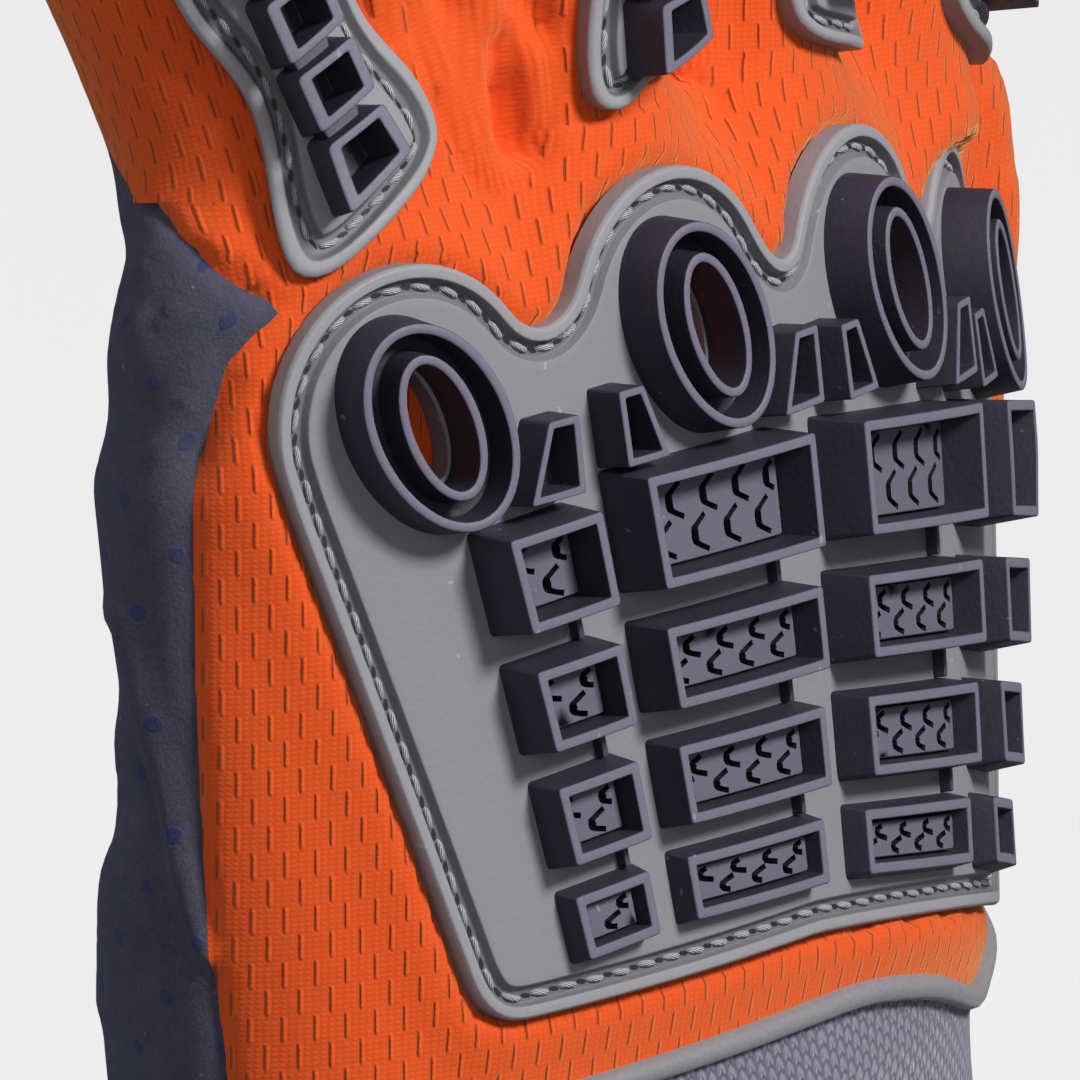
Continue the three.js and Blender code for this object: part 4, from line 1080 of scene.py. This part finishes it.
def place_on(finger, points):
    """How far along a finger points are, their places across and out of its middle, as three rows."""
    best = np.full(len(points), 1e9)
    result = np.zeros((3, len(points)))
    for k, step in enumerate(finger.steps):
        away = points - finger.middle[k]
        along = away @ finger.along[k]
        cost = np.abs(along) + 0.02 * np.linalg.norm(away, axis=1)
        better = cost < best
        best[better] = cost[better]
        result[0, better] = (step + along)[better]
        result[1, better] = (away @ finger.across[k])[better]
        result[2, better] = (away @ finger.out[k])[better]
    return result


def stations(finger, end):
    """Rows of middle, across, out, along and radius, for tube_loops."""
    rows = []
    for at in np.linspace(0, end, int(end / 2) + 1):
        frame = [interpolated(at, finger.steps, table)
                 for table in (finger.middle, finger.across, finger.out, finger.along)]
        rows.append((*frame, float(finger.radius_at(at))))
    return rows


def whole_glove():
    """Hand, fingers and thumb melted into one closed skin, as points and triangles in mm."""
    parts = Parts()
    lofted(parts, body_loops())
    for finger in FINGER.values():
        lofted(parts, tube_loops(stations(finger, finger.full - float(finger.radius_at(finger.full))), 48))
    lofted(parts, tube_loops(stations(THUMB, THUMB.full), 48))
    # Two tubes fill the web between the little and the ring finger.
    for share, deep, radius in ((0.34, 2.7, 3.6), (0.8, 1.7, 2.1)):
        line = []
        for at in np.arange(14.0, 54.0, 3.0):
            little, ring = FINGER["little"].on(6.0, at, 0.0), FINGER["ring"].on(-7.0, at, 0.0)
            out = FINGER["ring"].at(np.array([at]))[3][0]
            line.append(little + (ring - little) * share - out * (deep + 0.5 * max(0, 26 - at)))
        line = np.array(line)
        way = unit(np.gradient(line, axis=0))
        side = unit(np.cross(way, out))
        lofted(parts, tube_loops([(m, s, np.cross(s, w), w, radius) for m, w, s in zip(line, way, side)], 24))
    mesh = bpy.data.meshes.new("skin")
    mesh.from_pydata((np.concatenate(parts.points) * 0.001).tolist(), [], parts.faces)
    skin = linked("skin", mesh)
    melt = skin.modifiers.new("melt", "REMESH")
    melt.mode, melt.voxel_size = "VOXEL", 0.0009
    made = bpy.data.meshes.new_from_object(skin.evaluated_get(bpy.context.evaluated_depsgraph_get()))
    points = read(made.vertices, "co", np.float32, 3)
    made.calc_loop_triangles()
    triangles = read(made.loop_triangles, "vertices", np.int32, 3)
    bpy.data.objects.remove(skin)
    for data in (mesh, made):
        bpy.data.meshes.remove(data)
    return points.reshape(-1, 3).astype(float) * 1000, triangles.reshape(-1, 3).astype(int)


def relaxed(points, triangles, rounds, share=0.5, mask=None):
    """Evens a skin out. Without a mask its size is kept."""
    edges = np.concatenate([triangles[:, [0, 1]], triangles[:, [1, 2]], triangles[:, [2, 0]]])
    edges = np.unique(np.sort(edges, 1), axis=0)
    ends = np.concatenate([edges[:, 0], edges[:, 1]])
    others = np.concatenate([edges[:, 1], edges[:, 0]])
    count = np.bincount(ends, minlength=len(points)).astype(float)
    for k in range(rounds):
        way = share * mask[:, None] if mask is not None else share if k % 2 == 0 else -share * 1.03
        total = np.stack([np.bincount(ends, points[others, a], len(points)) for a in range(3)], 1)
        points = points + (total / np.maximum(count, 1)[:, None] - points) * way
    return points


def normals_of(points, triangles):
    a, b, c = (points[triangles[:, k]] for k in range(3))
    n = np.cross(b - a, c - a)
    total = np.stack([sum(np.bincount(triangles[:, k], n[:, j], len(points)) for k in range(3))
                      for j in range(3)], 1)
    return total / np.maximum(np.linalg.norm(total, axis=1), 1e-12)[:, None]


def cut_along(points, triangles, values, chosen, near=0.12):
    """Cuts the chosen triangles where the values at their points pass zero. Returns the side of
    every triangle as well: 1 over zero, -1 under it, 0 where not chosen."""
    values = np.where(np.abs(values) < near, 0.0, values)
    corner = values[triangles]
    crossing = chosen & (corner.max(1) > 0) & (corner.min(1) < 0)
    plain = triangles[~crossing]
    side = np.where(chosen, np.where(corner.sum(1) > 0, 1, -1), 0)
    source = np.arange(len(triangles))
    made, new_points = {}, []

    def between(i, j):
        key = (i, j) if i < j else (j, i)
        if key not in made:
            t = values[i] / (values[i] - values[j])
            made[key] = len(points) + len(new_points)
            new_points.append(points[i] + (points[j] - points[i]) * t)
        return made[key]

    extra, extra_side, extra_source = [], [], []
    for k in np.flatnonzero(crossing):
        tri = [int(i) for i in triangles[k]]
        polygons = {1: [], -1: []}
        for a, b in zip(tri, tri[1:] + tri[:1]):
            va, vb = values[a], values[b]
            for way in (1, -1):
                if va * way >= 0:
                    polygons[way].append(a)
            if va * vb < 0:
                m = between(a, b)
                polygons[1].append(m)
                polygons[-1].append(m)
        for way, polygon in polygons.items():
            for i in range(1, len(polygon) - 1):
                extra.append((polygon[0], polygon[i], polygon[i + 1]))
                extra_side.append(way)
                extra_source.append(k)
    if extra:
        points = np.concatenate([points, new_points])
        triangles = np.concatenate([plain, extra])
        side = np.concatenate([side[~crossing], extra_side])
        source = np.concatenate([source[~crossing], extra_source])
    return points, triangles, side, source


PALM_SEAM = np.array([
    (-46, 20.5), (-18, 19), (-8, 17.9), (8, 15.9), (14, 13.8), (17, 11.2), (24, 20.5), (27, 24.5),
])


def palm_side(p):
    """Over zero on the palm's side of the seam, under zero on the back's."""
    little = np.interp(p[:, 2] - KNUCKLE_Z, PALM_SEAM[:, 0], PALM_SEAM[:, 1])
    return p[:, 1] - CREST_Y - little - (25 - little) * smooth((p[:, 0] + 38) / 70)


def cuff_level(x, y):
    """The height of the seam between the mesh and the cuff."""
    dip = 2.6 * np.exp(-((x - 24.5) / 7) ** 2)
    return KNUCKLE_Z - 38.6 - smooth(-y / 10) * (2.2 * smooth((x - 2) / 18) + dip)


def around(points):
    """Where points lie round the hand's outline: length along it, and its whole length, in mm."""
    place, whole = np.zeros(len(points)), np.zeros(len(points))
    for k in range(0, len(points), 4000):
        part = slice(k, k + 4000)
        rings = rings_at(points[part, 2])
        step = np.roll(rings, -1, 1) - rings
        length = np.linalg.norm(step, axis=2)
        start = np.cumsum(length, 1) - length
        away = points[part, None, :2] - rings
        t = np.clip((away * step).sum(2) / length ** 2, 0, 1)
        gap = np.linalg.norm(away - step * t[..., None], axis=2)
        best = gap.argmin(1)
        rows = np.arange(len(best))
        place[part] = start[rows, best] + t[rows, best] * length[rows, best]
        whole[part] = length.sum(1)
        place[part] -= start[:, BACK_COUNT // 2 - 2]
    return place, whole


def panel(name, points, triangles, flat, material, slot, plain):
    """One piece of cloth from some of the skin's triangles. flat holds each corner's place in mm,
    and plain is 1 at points where the mesh has no slits."""
    used, index = np.unique(triangles, return_inverse=True)
    mesh = bpy.data.meshes.new(name)
    mesh.from_pydata((points[used] * 0.001).tolist(), [], index.reshape(-1, 3).tolist())
    layer = mesh.uv_layers.new(name="cloth")
    layer.data.foreach_set("uv", flat.reshape(-1, 2).astype(np.float32).ravel())
    border = np.bincount(read(mesh.loops, "edge_index", int), minlength=len(mesh.edges)) == 1
    mesh.attributes.new("sharp_edge", "BOOLEAN", "EDGE").data.foreach_set("value", border)
    mesh.attributes.new("plain", "FLOAT", "POINT").data.foreach_set("value", plain[used].astype(np.float32))
    return dress(name, mesh, material, slot, [name], angle=0)


def wrapped(place, whole, middle=0.0):
    """Places round the hand measured from its back's middle, or from a share of the way round."""
    return (place - middle * whole + 0.5 * whole) % whole - 0.5 * whole


# What the skin's triangles belong to. Finger k's back and front are BACKS + k and FRONTS + k.
HAND_PART, BACK_PART, PALM_PART, CUFF_PART, BACKS, FRONTS, THUMB_INDEX = 0, 1, 2, 3, 10, 20, 4
THUMB_REACH, THUMB_CLEAR, FAR = 17, 1.2, -5
# The band round the finger roots that is evened out more, in height, half width and soft edge
BAND_Z, BAND_HALF, BAND_EDGE, BAND_ROUNDS, SKIN_ROUNDS, REGROWN = 131, 14, 6, 44, 10, 0.35


def over_hand(points):
    """How far points are outside the hand's outline at their height."""
    rings = rings_at(points[:, 2])
    gaps = np.linalg.norm(points[:, None, :2] - rings, axis=2)
    centre = rings.mean(1)
    reach = np.linalg.norm(rings - centre[:, None], axis=2)
    nearest = np.take_along_axis(reach, gaps.argmin(1)[:, None], 1)[:, 0]
    outside = np.linalg.norm(points[:, :2] - centre, axis=1) > nearest
    return np.where(outside, gaps.min(1), -gaps.min(1))


def build_fabric():
    """Cuts the skin along its seams into panels, and shapes them."""
    points, triangles = whole_glove()
    points = relaxed(points, triangles, SKIN_ROUNDS)
    roots = smooth((BAND_HALF - np.abs(points[:, 2] - BAND_Z)) / BAND_EDGE)
    before, facing = points, normals_of(points, triangles)
    points = relaxed(points, triangles, BAND_ROUNDS, mask=roots)
    points = points + facing * (REGROWN * roots * (np.linalg.norm(points - before, axis=1) < 0.9))[:, None]
    label = np.zeros(len(triangles), int)

    def cut(values, chosen):
        nonlocal points, triangles, label
        points, triangles, side, source = cut_along(points, triangles, values, chosen)
        label = label[source]
        return side

    keep = cut(points[:, 2], label == HAND_PART) > 0
    triangles, label = triangles[keep], label[keep]
    fingers = cut(points[:, 2] - ROOT_Z, label == HAND_PART) > 0
    names = list(FINGERS)
    away = []
    for name in names:
        at, across, out = place_on(FINGER[name], points)
        away.append(np.hypot(across, out) + 5 * np.maximum(0, -at))
    owner = np.stack(away)[:, triangles].sum(2).argmin(0)
    label = np.where(fingers, BACKS + owner, HAND_PART)
    for k, name in enumerate(names):
        _, across, out = place_on(FINGER[name], points)
        value = out + PANEL_EDGE * FINGER[name].radius
        if name == "little":
            flare = smooth((ROOT_Z + 4.5 - points[:, 2]) / 4.5) * smooth(-across / 4)
            value = value - flare * PANEL_EDGE * FINGER[name].radius
        side = cut(value, label == BACKS + k)
        label = np.where((label == BACKS + k) & (side < 0), FRONTS + k, label)
    # The thumb, where it has left the hand
    start = THUMB_ROWS[0]
    along = (points - start[0]) @ start[1] - THUMB_ROOT
    _, across, out = place_on(THUMB, points)
    value = np.minimum(along, over_hand(points) - THUMB_CLEAR)
    value = np.where(np.hypot(across, out) > THUMB_REACH, FAR, value)
    value = np.where(points[:, 2] > ROOT_Z - 0.5, FAR, value)
    side = cut(value, label == HAND_PART)
    label = np.where((label == HAND_PART) & (side > 0), BACKS + THUMB_INDEX, label)
    side = cut(place_on(THUMB, points)[2], label == BACKS + THUMB_INDEX)
    label = np.where((label == BACKS + THUMB_INDEX) & (side < 0), FRONTS + THUMB_INDEX, label)
    side = cut(points[:, 2] - cuff_level(points[:, 0], points[:, 1]), label == HAND_PART)
    label = np.where((label == HAND_PART) & (side < 0), CUFF_PART, label)
    side = cut(palm_side(points), label == HAND_PART)
    label = np.where(label == HAND_PART, np.where(side > 0, PALM_PART, BACK_PART), label)

    normals = normals_of(points, triangles)
    place, whole = around(points)
    u, _, h = off_back(points)
    over = smooth((h + 13) / 5) * (normals[:, 1] < 0.6)
    flat_back = np.stack([wrapped(place, whole) * (1 - over) + u * over, points[:, 2] - KNUCKLE_Z], 1)
    flat_palm = np.stack([wrapped(place, whole, 0.5), points[:, 2] - KNUCKLE_Z], 1)
    moved = shaped(points, normals)
    plain = inside(picture(points), np.array(FOURCHETTE)) * smooth((normals @ view()[3] + 0.1) / 0.1)
    made = {}
    for key, name, material, slot, flat in (
        (BACK_PART, "back_panel", MESH, "mesh_knit", flat_back),
        (PALM_PART, "palm_panel", PALM, "palm_fabric", flat_palm),
        (CUFF_PART, "cuff", CUFF, "cuff_knit", flat_palm),
    ):
        chosen = triangles[label == key]
        corner = flat[chosen]
        jump = corner[:, :, 0].max(1) - corner[:, :, 0].min(1) > 60
        across = corner[jump, :, 0]
        corner[jump, :, 0] = np.where(across < 0, across + whole[chosen[jump]], across)
        made[name] = (panel(name, moved, chosen, corner, material, slot, plain), corner)
    for k, name in enumerate(names + ["thumb"]):
        finger = THUMB if name == "thumb" else FINGER[name]
        at, across, out = place_on(finger, points)
        radius = finger.radius_at(at)
        for key, end, material, slot, way in (
            (BACKS, "back", MESH, "mesh_knit", 1), (FRONTS, "front", PALM, "palm_fabric", -1),
        ):
            full = f"{name}_{end}" if name == "thumb" else f"{name}_finger_{end}"
            flat = np.stack([np.arctan2(across * way, out * way) * radius, at], 1)
            if name != "thumb":
                flat = flat + (FINGERS[name][0], FINGER_START)
            chosen = triangles[label == key + k]
            turn = np.arctan2(across, out)
            side_plain = plain
            if name != "thumb":
                low_side, high_side = name != "little", name != "index"
                side_plain = smooth((np.where(turn > 0, turn * high_side, -turn * low_side) - 0.85) / 0.08)
                if name == "little":
                    side_plain = side_plain * smooth((at - 44) / 4)
                side_plain = np.maximum(side_plain, plain)
            corner = flat[chosen]
            made[full] = (panel(full, moved, chosen, corner, material, slot, side_plain), corner)
    return moved, triangles, made


# Folds, with their lines in the picture plane of the camera, in mm from its middle

FOURCHETTE = [  # the smooth cloth between two fingers
    (-9.6, 39.8), (-8.5, 35.8), (-7.5, 31.3), (-5.9, 26.8), (-3.6, 22.8), (-1.3, 23.5),
    (0.3, 25.8), (1.1, 29.1), (1.0, 32.5), (0.3, 35.8), (0.0, 39.8),
]
FOLDS = [  # height, half width, line
    (-2.2, 1.0, [(-2.1, 32.8), (-2.0, 30.5), (-1.8, 28.2), (-1.3, 26.1)]),
    (-1.2, 0.9, [(-1.7, 29.8), (-1.1, 27.5), (-0.7, 26.1)]),
    (-0.7, 0.5, [(-8.5, 35.8), (-7.5, 31.3), (-5.9, 26.8), (-3.6, 22.8)]),
    (-0.6, 0.5, [(0.3, 35.8), (1.0, 32.5), (1.0, 29.1), (0.1, 25.8)]),
    (-1.8, 1.4, [(-0.7, 37.8), (-0.7, 35.8), (0.2, 34.2)]),
    (0.5, 1.5, [(10.1, 35.8), (10.6, 31.8), (9.4, 28.8)]),
    (-0.5, 1.3, [(13.1, 35.8), (12.7, 31.8), (11.4, 28.4)]),
    (-0.7, 2.2, [(-17.8, 11.4), (-19.9, 8.6), (-21.7, 5.8)]),
    (0.9, 4.0, [(23.2, -26.2), (27.2, -27.2)]),
    (0.9, 0.8, [(-27.8, -4.6), (-26.4, -10.6), (-24.9, -17.2), (-23.3, -23.9), (-22.2, -27.8)]),
    (-0.5, 0.8, [(-28.8, -6.6), (-27.6, -11.9), (-26.1, -17.9), (-24.5, -23.9), (-23.5, -27.8)]),
    (0.6, 1.5, [(-28.4, -20.5), (-28.7, -24.2), (-28.6, -30.5)]),
    (-1.0, 2.6, [(-28.2, -17.6), (-28.0, -18.9)]),
    (1.1, 3.6, [(-27.5, 20.5), (-27.5, 12.6)]),
    (0.5, 1.2, [(-22.5, 10.9), (-23.9, 8.5), (-25.2, 6.0)]),
    (-0.5, 1.4, [(-20.7, 9.8), (-22.1, 7.3), (-23.5, 4.6)]),
    (-0.9, 3.2, [(30.5, -23.9), (29.5, -35.8)]),
    (0.7, 4.0, [(30.8, 28.5), (31.1, 19.9)]),
]


def picture(points):
    """Where points are in the camera's picture, in mm at the distance of its target."""
    eye, x, y, back = view()
    away = points - eye
    depth = -(away @ back) / DISTANCE
    return np.stack([away @ x, away @ y], 1) / depth[:, None]


def from_line(flat, line):
    """Distances of flat points from a line of points."""
    line = np.array(line)
    best = np.full(len(flat), 1e9)
    for a, b in zip(line, line[1:]):
        t = np.clip(((flat - a) @ (b - a)) / (b - a).dot(b - a), 0, 1)
        best = np.minimum(best, np.linalg.norm(flat - a - t[:, None] * (b - a), axis=1))
    return best


# The cloth's height under the guard, its swell beside the guard, and the depth of the palm's seam
PRESSED, SWELL, SEAM_DEPTH = -1.75, 1.05, 0.6


def shaped(points, normals):
    """The skin with its folds and seams, and with the hollow under the guard."""
    u, v, h = off_back(points)
    flat = np.stack([u, v], 1)
    front = (h > -9) & (normals[:, 1] < 0.3) & (v < 24)
    near = np.full(len(points), 99.0)
    ids = np.flatnonzero(front)
    tree = KDTree(len(GUARD_OUTLINE))
    for k, p in enumerate(GUARD_OUTLINE):
        tree.insert((p[0], p[1], 0), k)
    tree.balance()
    near[ids] = [tree.find((a, b, 0))[2] for a, b in flat[ids]]
    within = np.zeros(len(points), bool)
    within[ids] = inside(flat[ids], GUARD_OUTLINE)
    away = np.where(within, -near, near)
    rise = SWELL * smooth((away - 0.1) / 0.9) * np.exp(-(np.maximum(0, away - 1.4) / 2.9) ** 2)
    moved = points + normals * rise[:, None]
    press = front & (away < 0.3) & (h > PRESSED)
    moved[press] = on_back(u[press], v[press], PRESSED)
    height = points[:, 2]
    body = (height < ROOT_Z) & (height > 64)
    body &= height > cuff_level(points[:, 0], points[:, 1]) + 1
    seam = np.exp(-(palm_side(points) / 0.8) ** 2) * body
    moved = moved - normals * (SEAM_DEPTH * seam)[:, None]
    seen = smooth((normals @ view()[3] + 0.3) / 0.3) * (away > 0.5)
    plane = picture(points)
    for rise, wide, line in FOLDS:
        moved = moved + normals * (rise * seen * np.exp(-(from_line(plane, line) / wide) ** 2))[:, None]
    return moved


# Finger guards

FINGER_GUARDS = {  # half width, shift, start, length, slant, first cell, cells, notch at the lower end
    "little": (6.0, 0.4, 26.8, 41, 0.3, 3.6, 7, 0.0), "ring": (5.6, 1.3, 31.5, 52, 0.25, 2.8, 9, 1.1),
    "middle": (5.6, 1.2, 29.8, 58, -0.22, 4.6, 10, 0.0), "index": (5.8, 1.0, 26.5, 53, -0.25, 3.2, 9, 0.0),
}
# inset, height, painted light level of what follows: the lit lip lighter, the groove darker as painted shade
FINGER_PROFILE = [
    (-0.1, -0.9, 0.5), (0, 1.45, 1), (0.3, 1.7, 1), (0.85, 1.7, 0.1), (1.0, 0.95, 0), (1.85, 0.95, 0.1),
    (2.1, 1.6, 0.8), (2.6, 1.6, 0.8),
]
LADDER_FOOT, LADDER_HEIGHT, LADDER_RAIL = 1.6, 3.4, 0.6
LADDER_HALF, LADDER_OFFSET, LADDER_MARGIN = 1.65, -0.8, 3.4
WAVE_HEIGHT, WAVE_START, WAVE_LENGTH = 0.75, 2.9, 17.5
PROBE, LOWEST, HIGHEST = 16.0, -0.6, 6.0  # where rays to the skin start, and the heights it may have


def heights_over(finger, tree, start, end):
    """How high the skin is over a finger's own surface, as a smooth table over the guard."""
    across, along = np.arange(-8, 8.1, 1.6), np.arange(start - 4, end + 4, 2.0)
    table = np.zeros((len(across), len(along)))
    for i, a in enumerate(across):
        high, low = finger.on(a, along, PROBE), finger.on(a, along, 0.0)
        for j in range(len(along)):
            way = (low[j] - high[j]) / np.linalg.norm(low[j] - high[j])
            hit = tree.ray_cast(Vector(high[j]), Vector(way))
            table[i, j] = min(max(PROBE - hit[3], LOWEST), HIGHEST) if hit[0] else 0.0
    for _ in range(3):
        padded = np.pad(table, 1, mode="edge")
        beside = padded[2:, 1:-1] + padded[:-2, 1:-1] + padded[1:-1, 2:] + padded[1:-1, :-2]
        table = 0.5 * table + 0.125 * beside
    return across, along, table


def between(table, across, along):
    """The height at places between those of a table."""
    a, b, values = table
    x = np.clip((across - a[0]) / (a[1] - a[0]), 0, len(a) - 1.001)
    y = np.clip((along - b[0]) / (b[1] - b[0]), 0, len(b) - 1.001)
    i, j = x.astype(int), y.astype(int)
    s, t = x - i, y - j
    return ((values[i, j] * (1 - s) + values[i + 1, j] * s) * (1 - t)
            + (values[i, j + 1] * (1 - s) + values[i + 1, j + 1] * s) * t)


def build_finger_guards(tree):
    for name, (half, shift, start, length, slant, ahead, cells, notch) in FINGER_GUARDS.items():
        finger = FINGER[name]
        table = heights_over(finger, tree, start, start + length)

        def place(across, along, height):
            across, along = np.broadcast_arrays(np.asarray(across, float), np.asarray(along, float))
            along = along + slant * across
            return finger.on(across + shift, along, height + between(table, across + shift, along))

        s = np.linspace(0, length, 90)
        end = np.minimum(s, length - s)
        wide = half - 0.6 + WAVE_HEIGHT * np.cos(2 * math.pi * (s - WAVE_START) / WAVE_LENGTH)
        wide = wide * (0.6 + 0.4 * np.sqrt(1 - (1 - np.clip(end / 1.7, 0, 1)) ** 2))
        right = np.stack([wide, start + s], 1)
        floor = np.linspace(-wide[0], wide[0], 12)[1:-1]
        low_end = np.stack([floor, start + notch * np.exp(-((floor + 1.0) / 1.5) ** 2)], 1)
        outline = np.concatenate([right, (right * (-1, 1))[::-1], low_end])
        outline = eased(resample(outline, 0.8), 2)
        loops = [(inwards(outline, a), h, tone) for a, h, tone in soften(FINGER_PROFILE, 0.15)]
        parts = Parts()
        moulded(parts, loops, place, spacing=1.5)
        mesh_object(f"{name}_finger_guard", parts, GREY, "grey_rubber", [f"{name}_finger_guard"])
        stitching(f"{name}_finger_stitching", inwards(outline, 1.42), place, 0.95, 2.5)

        def lift(across, along, height):
            return place(across, along, LADDER_FOOT + np.asarray(height, float))

        first = start + ahead
        pitch = (length - ahead - LADDER_MARGIN) / cells
        parts = Parts()
        left, right = LADDER_OFFSET - LADDER_HALF, LADDER_OFFSET + LADDER_HALF
        for k in range(cells):
            low_end, high_end = first + k * pitch - 0.35, first + (k + 1) * pitch - 1.4
            wide = 0.35 if k == 0 else 0.0
            corners = [np.array(p) for p in (
                (left - wide, low_end - wide), (right + wide, low_end + 0.1),
                (right, high_end), (left, high_end + 0.15))]
            open_box(parts, corners, LADDER_HEIGHT, LADDER_RAIL, 0.15, lift, draft=0.3, cut=0.35)
            if k < cells - 1:
                neck = [np.array(p) for p in (
                    (left + 0.5, high_end - 0.3), (right - 0.9, high_end - 0.3),
                    (right - 0.5, high_end + 1.3), (left + 0.3, high_end + 1.3))]
                block(parts, neck, 2.1, 0.3, 0.5, 0.12, 0.8, lift)
        mesh_object(f"{name}_finger_ladder", parts, DARK, "dark_rubber", [f"{name}_finger_ladder"], angle=32)


def build_binding(tree):
    """The tape over the seam between the mesh and the cuff, laid on the skin."""
    rising = [(-0.85, -0.3), (-0.8, 0.45), (-0.6, 0.85), (-0.25, 1.05)]
    profile = rising + [(-dz, dn) for dz, dn in reversed(rising)]
    count, loops = 240, []
    for k in range(count):
        a = 2 * math.pi * k / count
        way = np.array([math.cos(a), math.sin(a), 0])
        level = 71.0
        for _ in range(4):
            hit = tree.ray_cast(Vector(way * 90 + (0, 0, level)), Vector(-way))
            level = float(cuff_level(np.array(hit[0][0]), np.array(hit[0][1])))
        row = []
        for dz, dn in profile:
            hit, normal, _, _ = tree.ray_cast(Vector(way * 90 + (0, 0, level + dz)), Vector(-way))
            row.append(np.array(hit) + np.array(normal) * dn)
        loops.append(row)
    loops = np.array(loops)
    for _ in range(2):
        loops = 0.5 * loops + 0.25 * (np.roll(loops, 1, 0) + np.roll(loops, -1, 0))
    parts = Parts()
    parts.add(loops, bands(count, len(profile), ring=True))
    mesh_object("cuff_binding", parts, TAPE, "tape", ["cuff_binding"], angle=60, flip=True)


def declare(made):
    """Gives each panel its thickness, and works out the size of its layout on the hand."""
    for name, (thing, corner) in made.items():
        wall = thing.modifiers.new("wall", "SOLIDIFY")
        wall.thickness, wall.offset, wall.use_rim = 0.0018, -1, True
        # The cuff and the palm count whole. The others have stray corners where the fingers part.
        stray = 0.0 if name in ("cuff", "palm_panel") else 0.7
        low, high = np.percentile(corner.reshape(-1, 2), (stray, 100 - stray), axis=0)


def build():
    build_rings()
    build_guard_base()
    build_frames()
    build_tapered()
    points, triangles, made = build_fabric()
    tree = BVHTree.FromPolygons(points.tolist(), triangles.tolist())
    build_finger_guards(tree)
    build_binding(tree)
    declare(made)


# Setting

TARGET, DISTANCE = np.array([0, CREST_Y, KNUCKLE_Z]), 1500.0
AZIMUTH, ELEVATION, ROLL = math.radians(56.047), math.radians(9.775), math.radians(6.942)
# px per mm, and the target's place from the frame's middle in px
SCALE, SHIFT_X, SHIFT_Y, FRAME_WIDTH, SENSOR = 15.09, 235.4, -100.4, 1080, 36.0


def view():
    """The camera's place and its three directions."""
    d = np.array([-math.sin(AZIMUTH) * math.cos(ELEVATION), -math.cos(AZIMUTH) * math.cos(ELEVATION),
                  math.sin(ELEVATION)])
    right = np.array([math.cos(AZIMUTH), -math.sin(AZIMUTH), 0.0])
    up = np.cross(d, right)
    up = up if up[2] > 0 else -up
    image_x = right * math.cos(ROLL) - up * math.sin(ROLL)
    image_y = right * math.sin(ROLL) + up * math.cos(ROLL)
    eye = TARGET + d * DISTANCE
    aim = TARGET - image_x * SHIFT_X / SCALE + image_y * SHIFT_Y / SCALE
    back = (eye - aim) / np.linalg.norm(eye - aim)
    x = image_x - back * image_x.dot(back)
    x /= np.linalg.norm(x)
    return eye, x, np.cross(back, x), back


def camera():
    eye, x, y, back = view()
    data = bpy.data.cameras.new("camera")
    data.sensor_width, data.lens = SENSOR, SENSOR * SCALE * DISTANCE / FRAME_WIDTH
    data.clip_start, data.clip_end = 0.05, 100
    thing = linked("camera", data)
    turn = Matrix([list(x), list(y), list(back)]).transposed().to_4x4()
    thing.matrix_world = Matrix.Translation(Vector(eye * 0.001)) @ turn
    bpy.context.scene.camera = thing
    return x, y, back


def lamp(name, place, aim, size, power, colour=(1, 1, 1)):
    data = bpy.data.lights.new(name, "AREA")
    data.shape, data.size, data.energy, data.color = "DISK", size, power, colour
    thing = linked(name, data)
    thing.location = Vector(place)
    thing.rotation_mode = "QUATERNION"
    thing.rotation_quaternion = (Vector(aim) - Vector(place)).to_track_quat("-Z", "Y")
    thing.visible_camera = False


def setting():
    x, y, back = camera()
    hand = Vector((0, 0, 0.11))

    def spot(a, b, c):
        return Vector(x * a + y * b + back * c) + hand

    lamp("key", spot(0.8, 0.62, 0.7), hand, 0.32, 17.5)
    lamp("fill", spot(0.1, 0.15, 1.6), hand, 0.8, 3.0)
    lamp("side", spot(-1.0, 0.45, 0.5), hand, 0.8, 1.8)
    lamp("top", hand + Vector((0.1, 0.1, 1.2)), hand, 0.8, 2)
    world = bpy.data.worlds.new("world")
    world.use_nodes = True
    world.node_tree.nodes["Background"].inputs[0].default_value = (0.93, 0.96, 1.0, 1)
    world.node_tree.nodes["Background"].inputs[1].default_value = 0.2
    bpy.context.scene.world = world
    n = Nodes("floor", Roughness=0.9, Specular_IOR_Level=0.1, Emission_Strength=0.79)
    n.shader.inputs["Emission Color"].default_value = (1, 1, 1, 1)
    n.finish(n.mix(n.noise(0.004, 2), rgb(84, 84, 84), rgb(88, 88, 88)))
    mesh = bpy.data.meshes.new("floor")
    half, level = 12, -0.03
    corners = [(-half, -half, level), (half, -half, level), (half, half, level), (-half, half, level)]
    mesh.from_pydata(corners, [], [(0, 1, 2, 3)])
    mesh.materials.append(n.material)
    floor = linked("floor", mesh)
    floor.visible_diffuse = floor.visible_glossy = False
    bpy.context.scene.view_settings.view_transform = "Standard"


build()
setting()
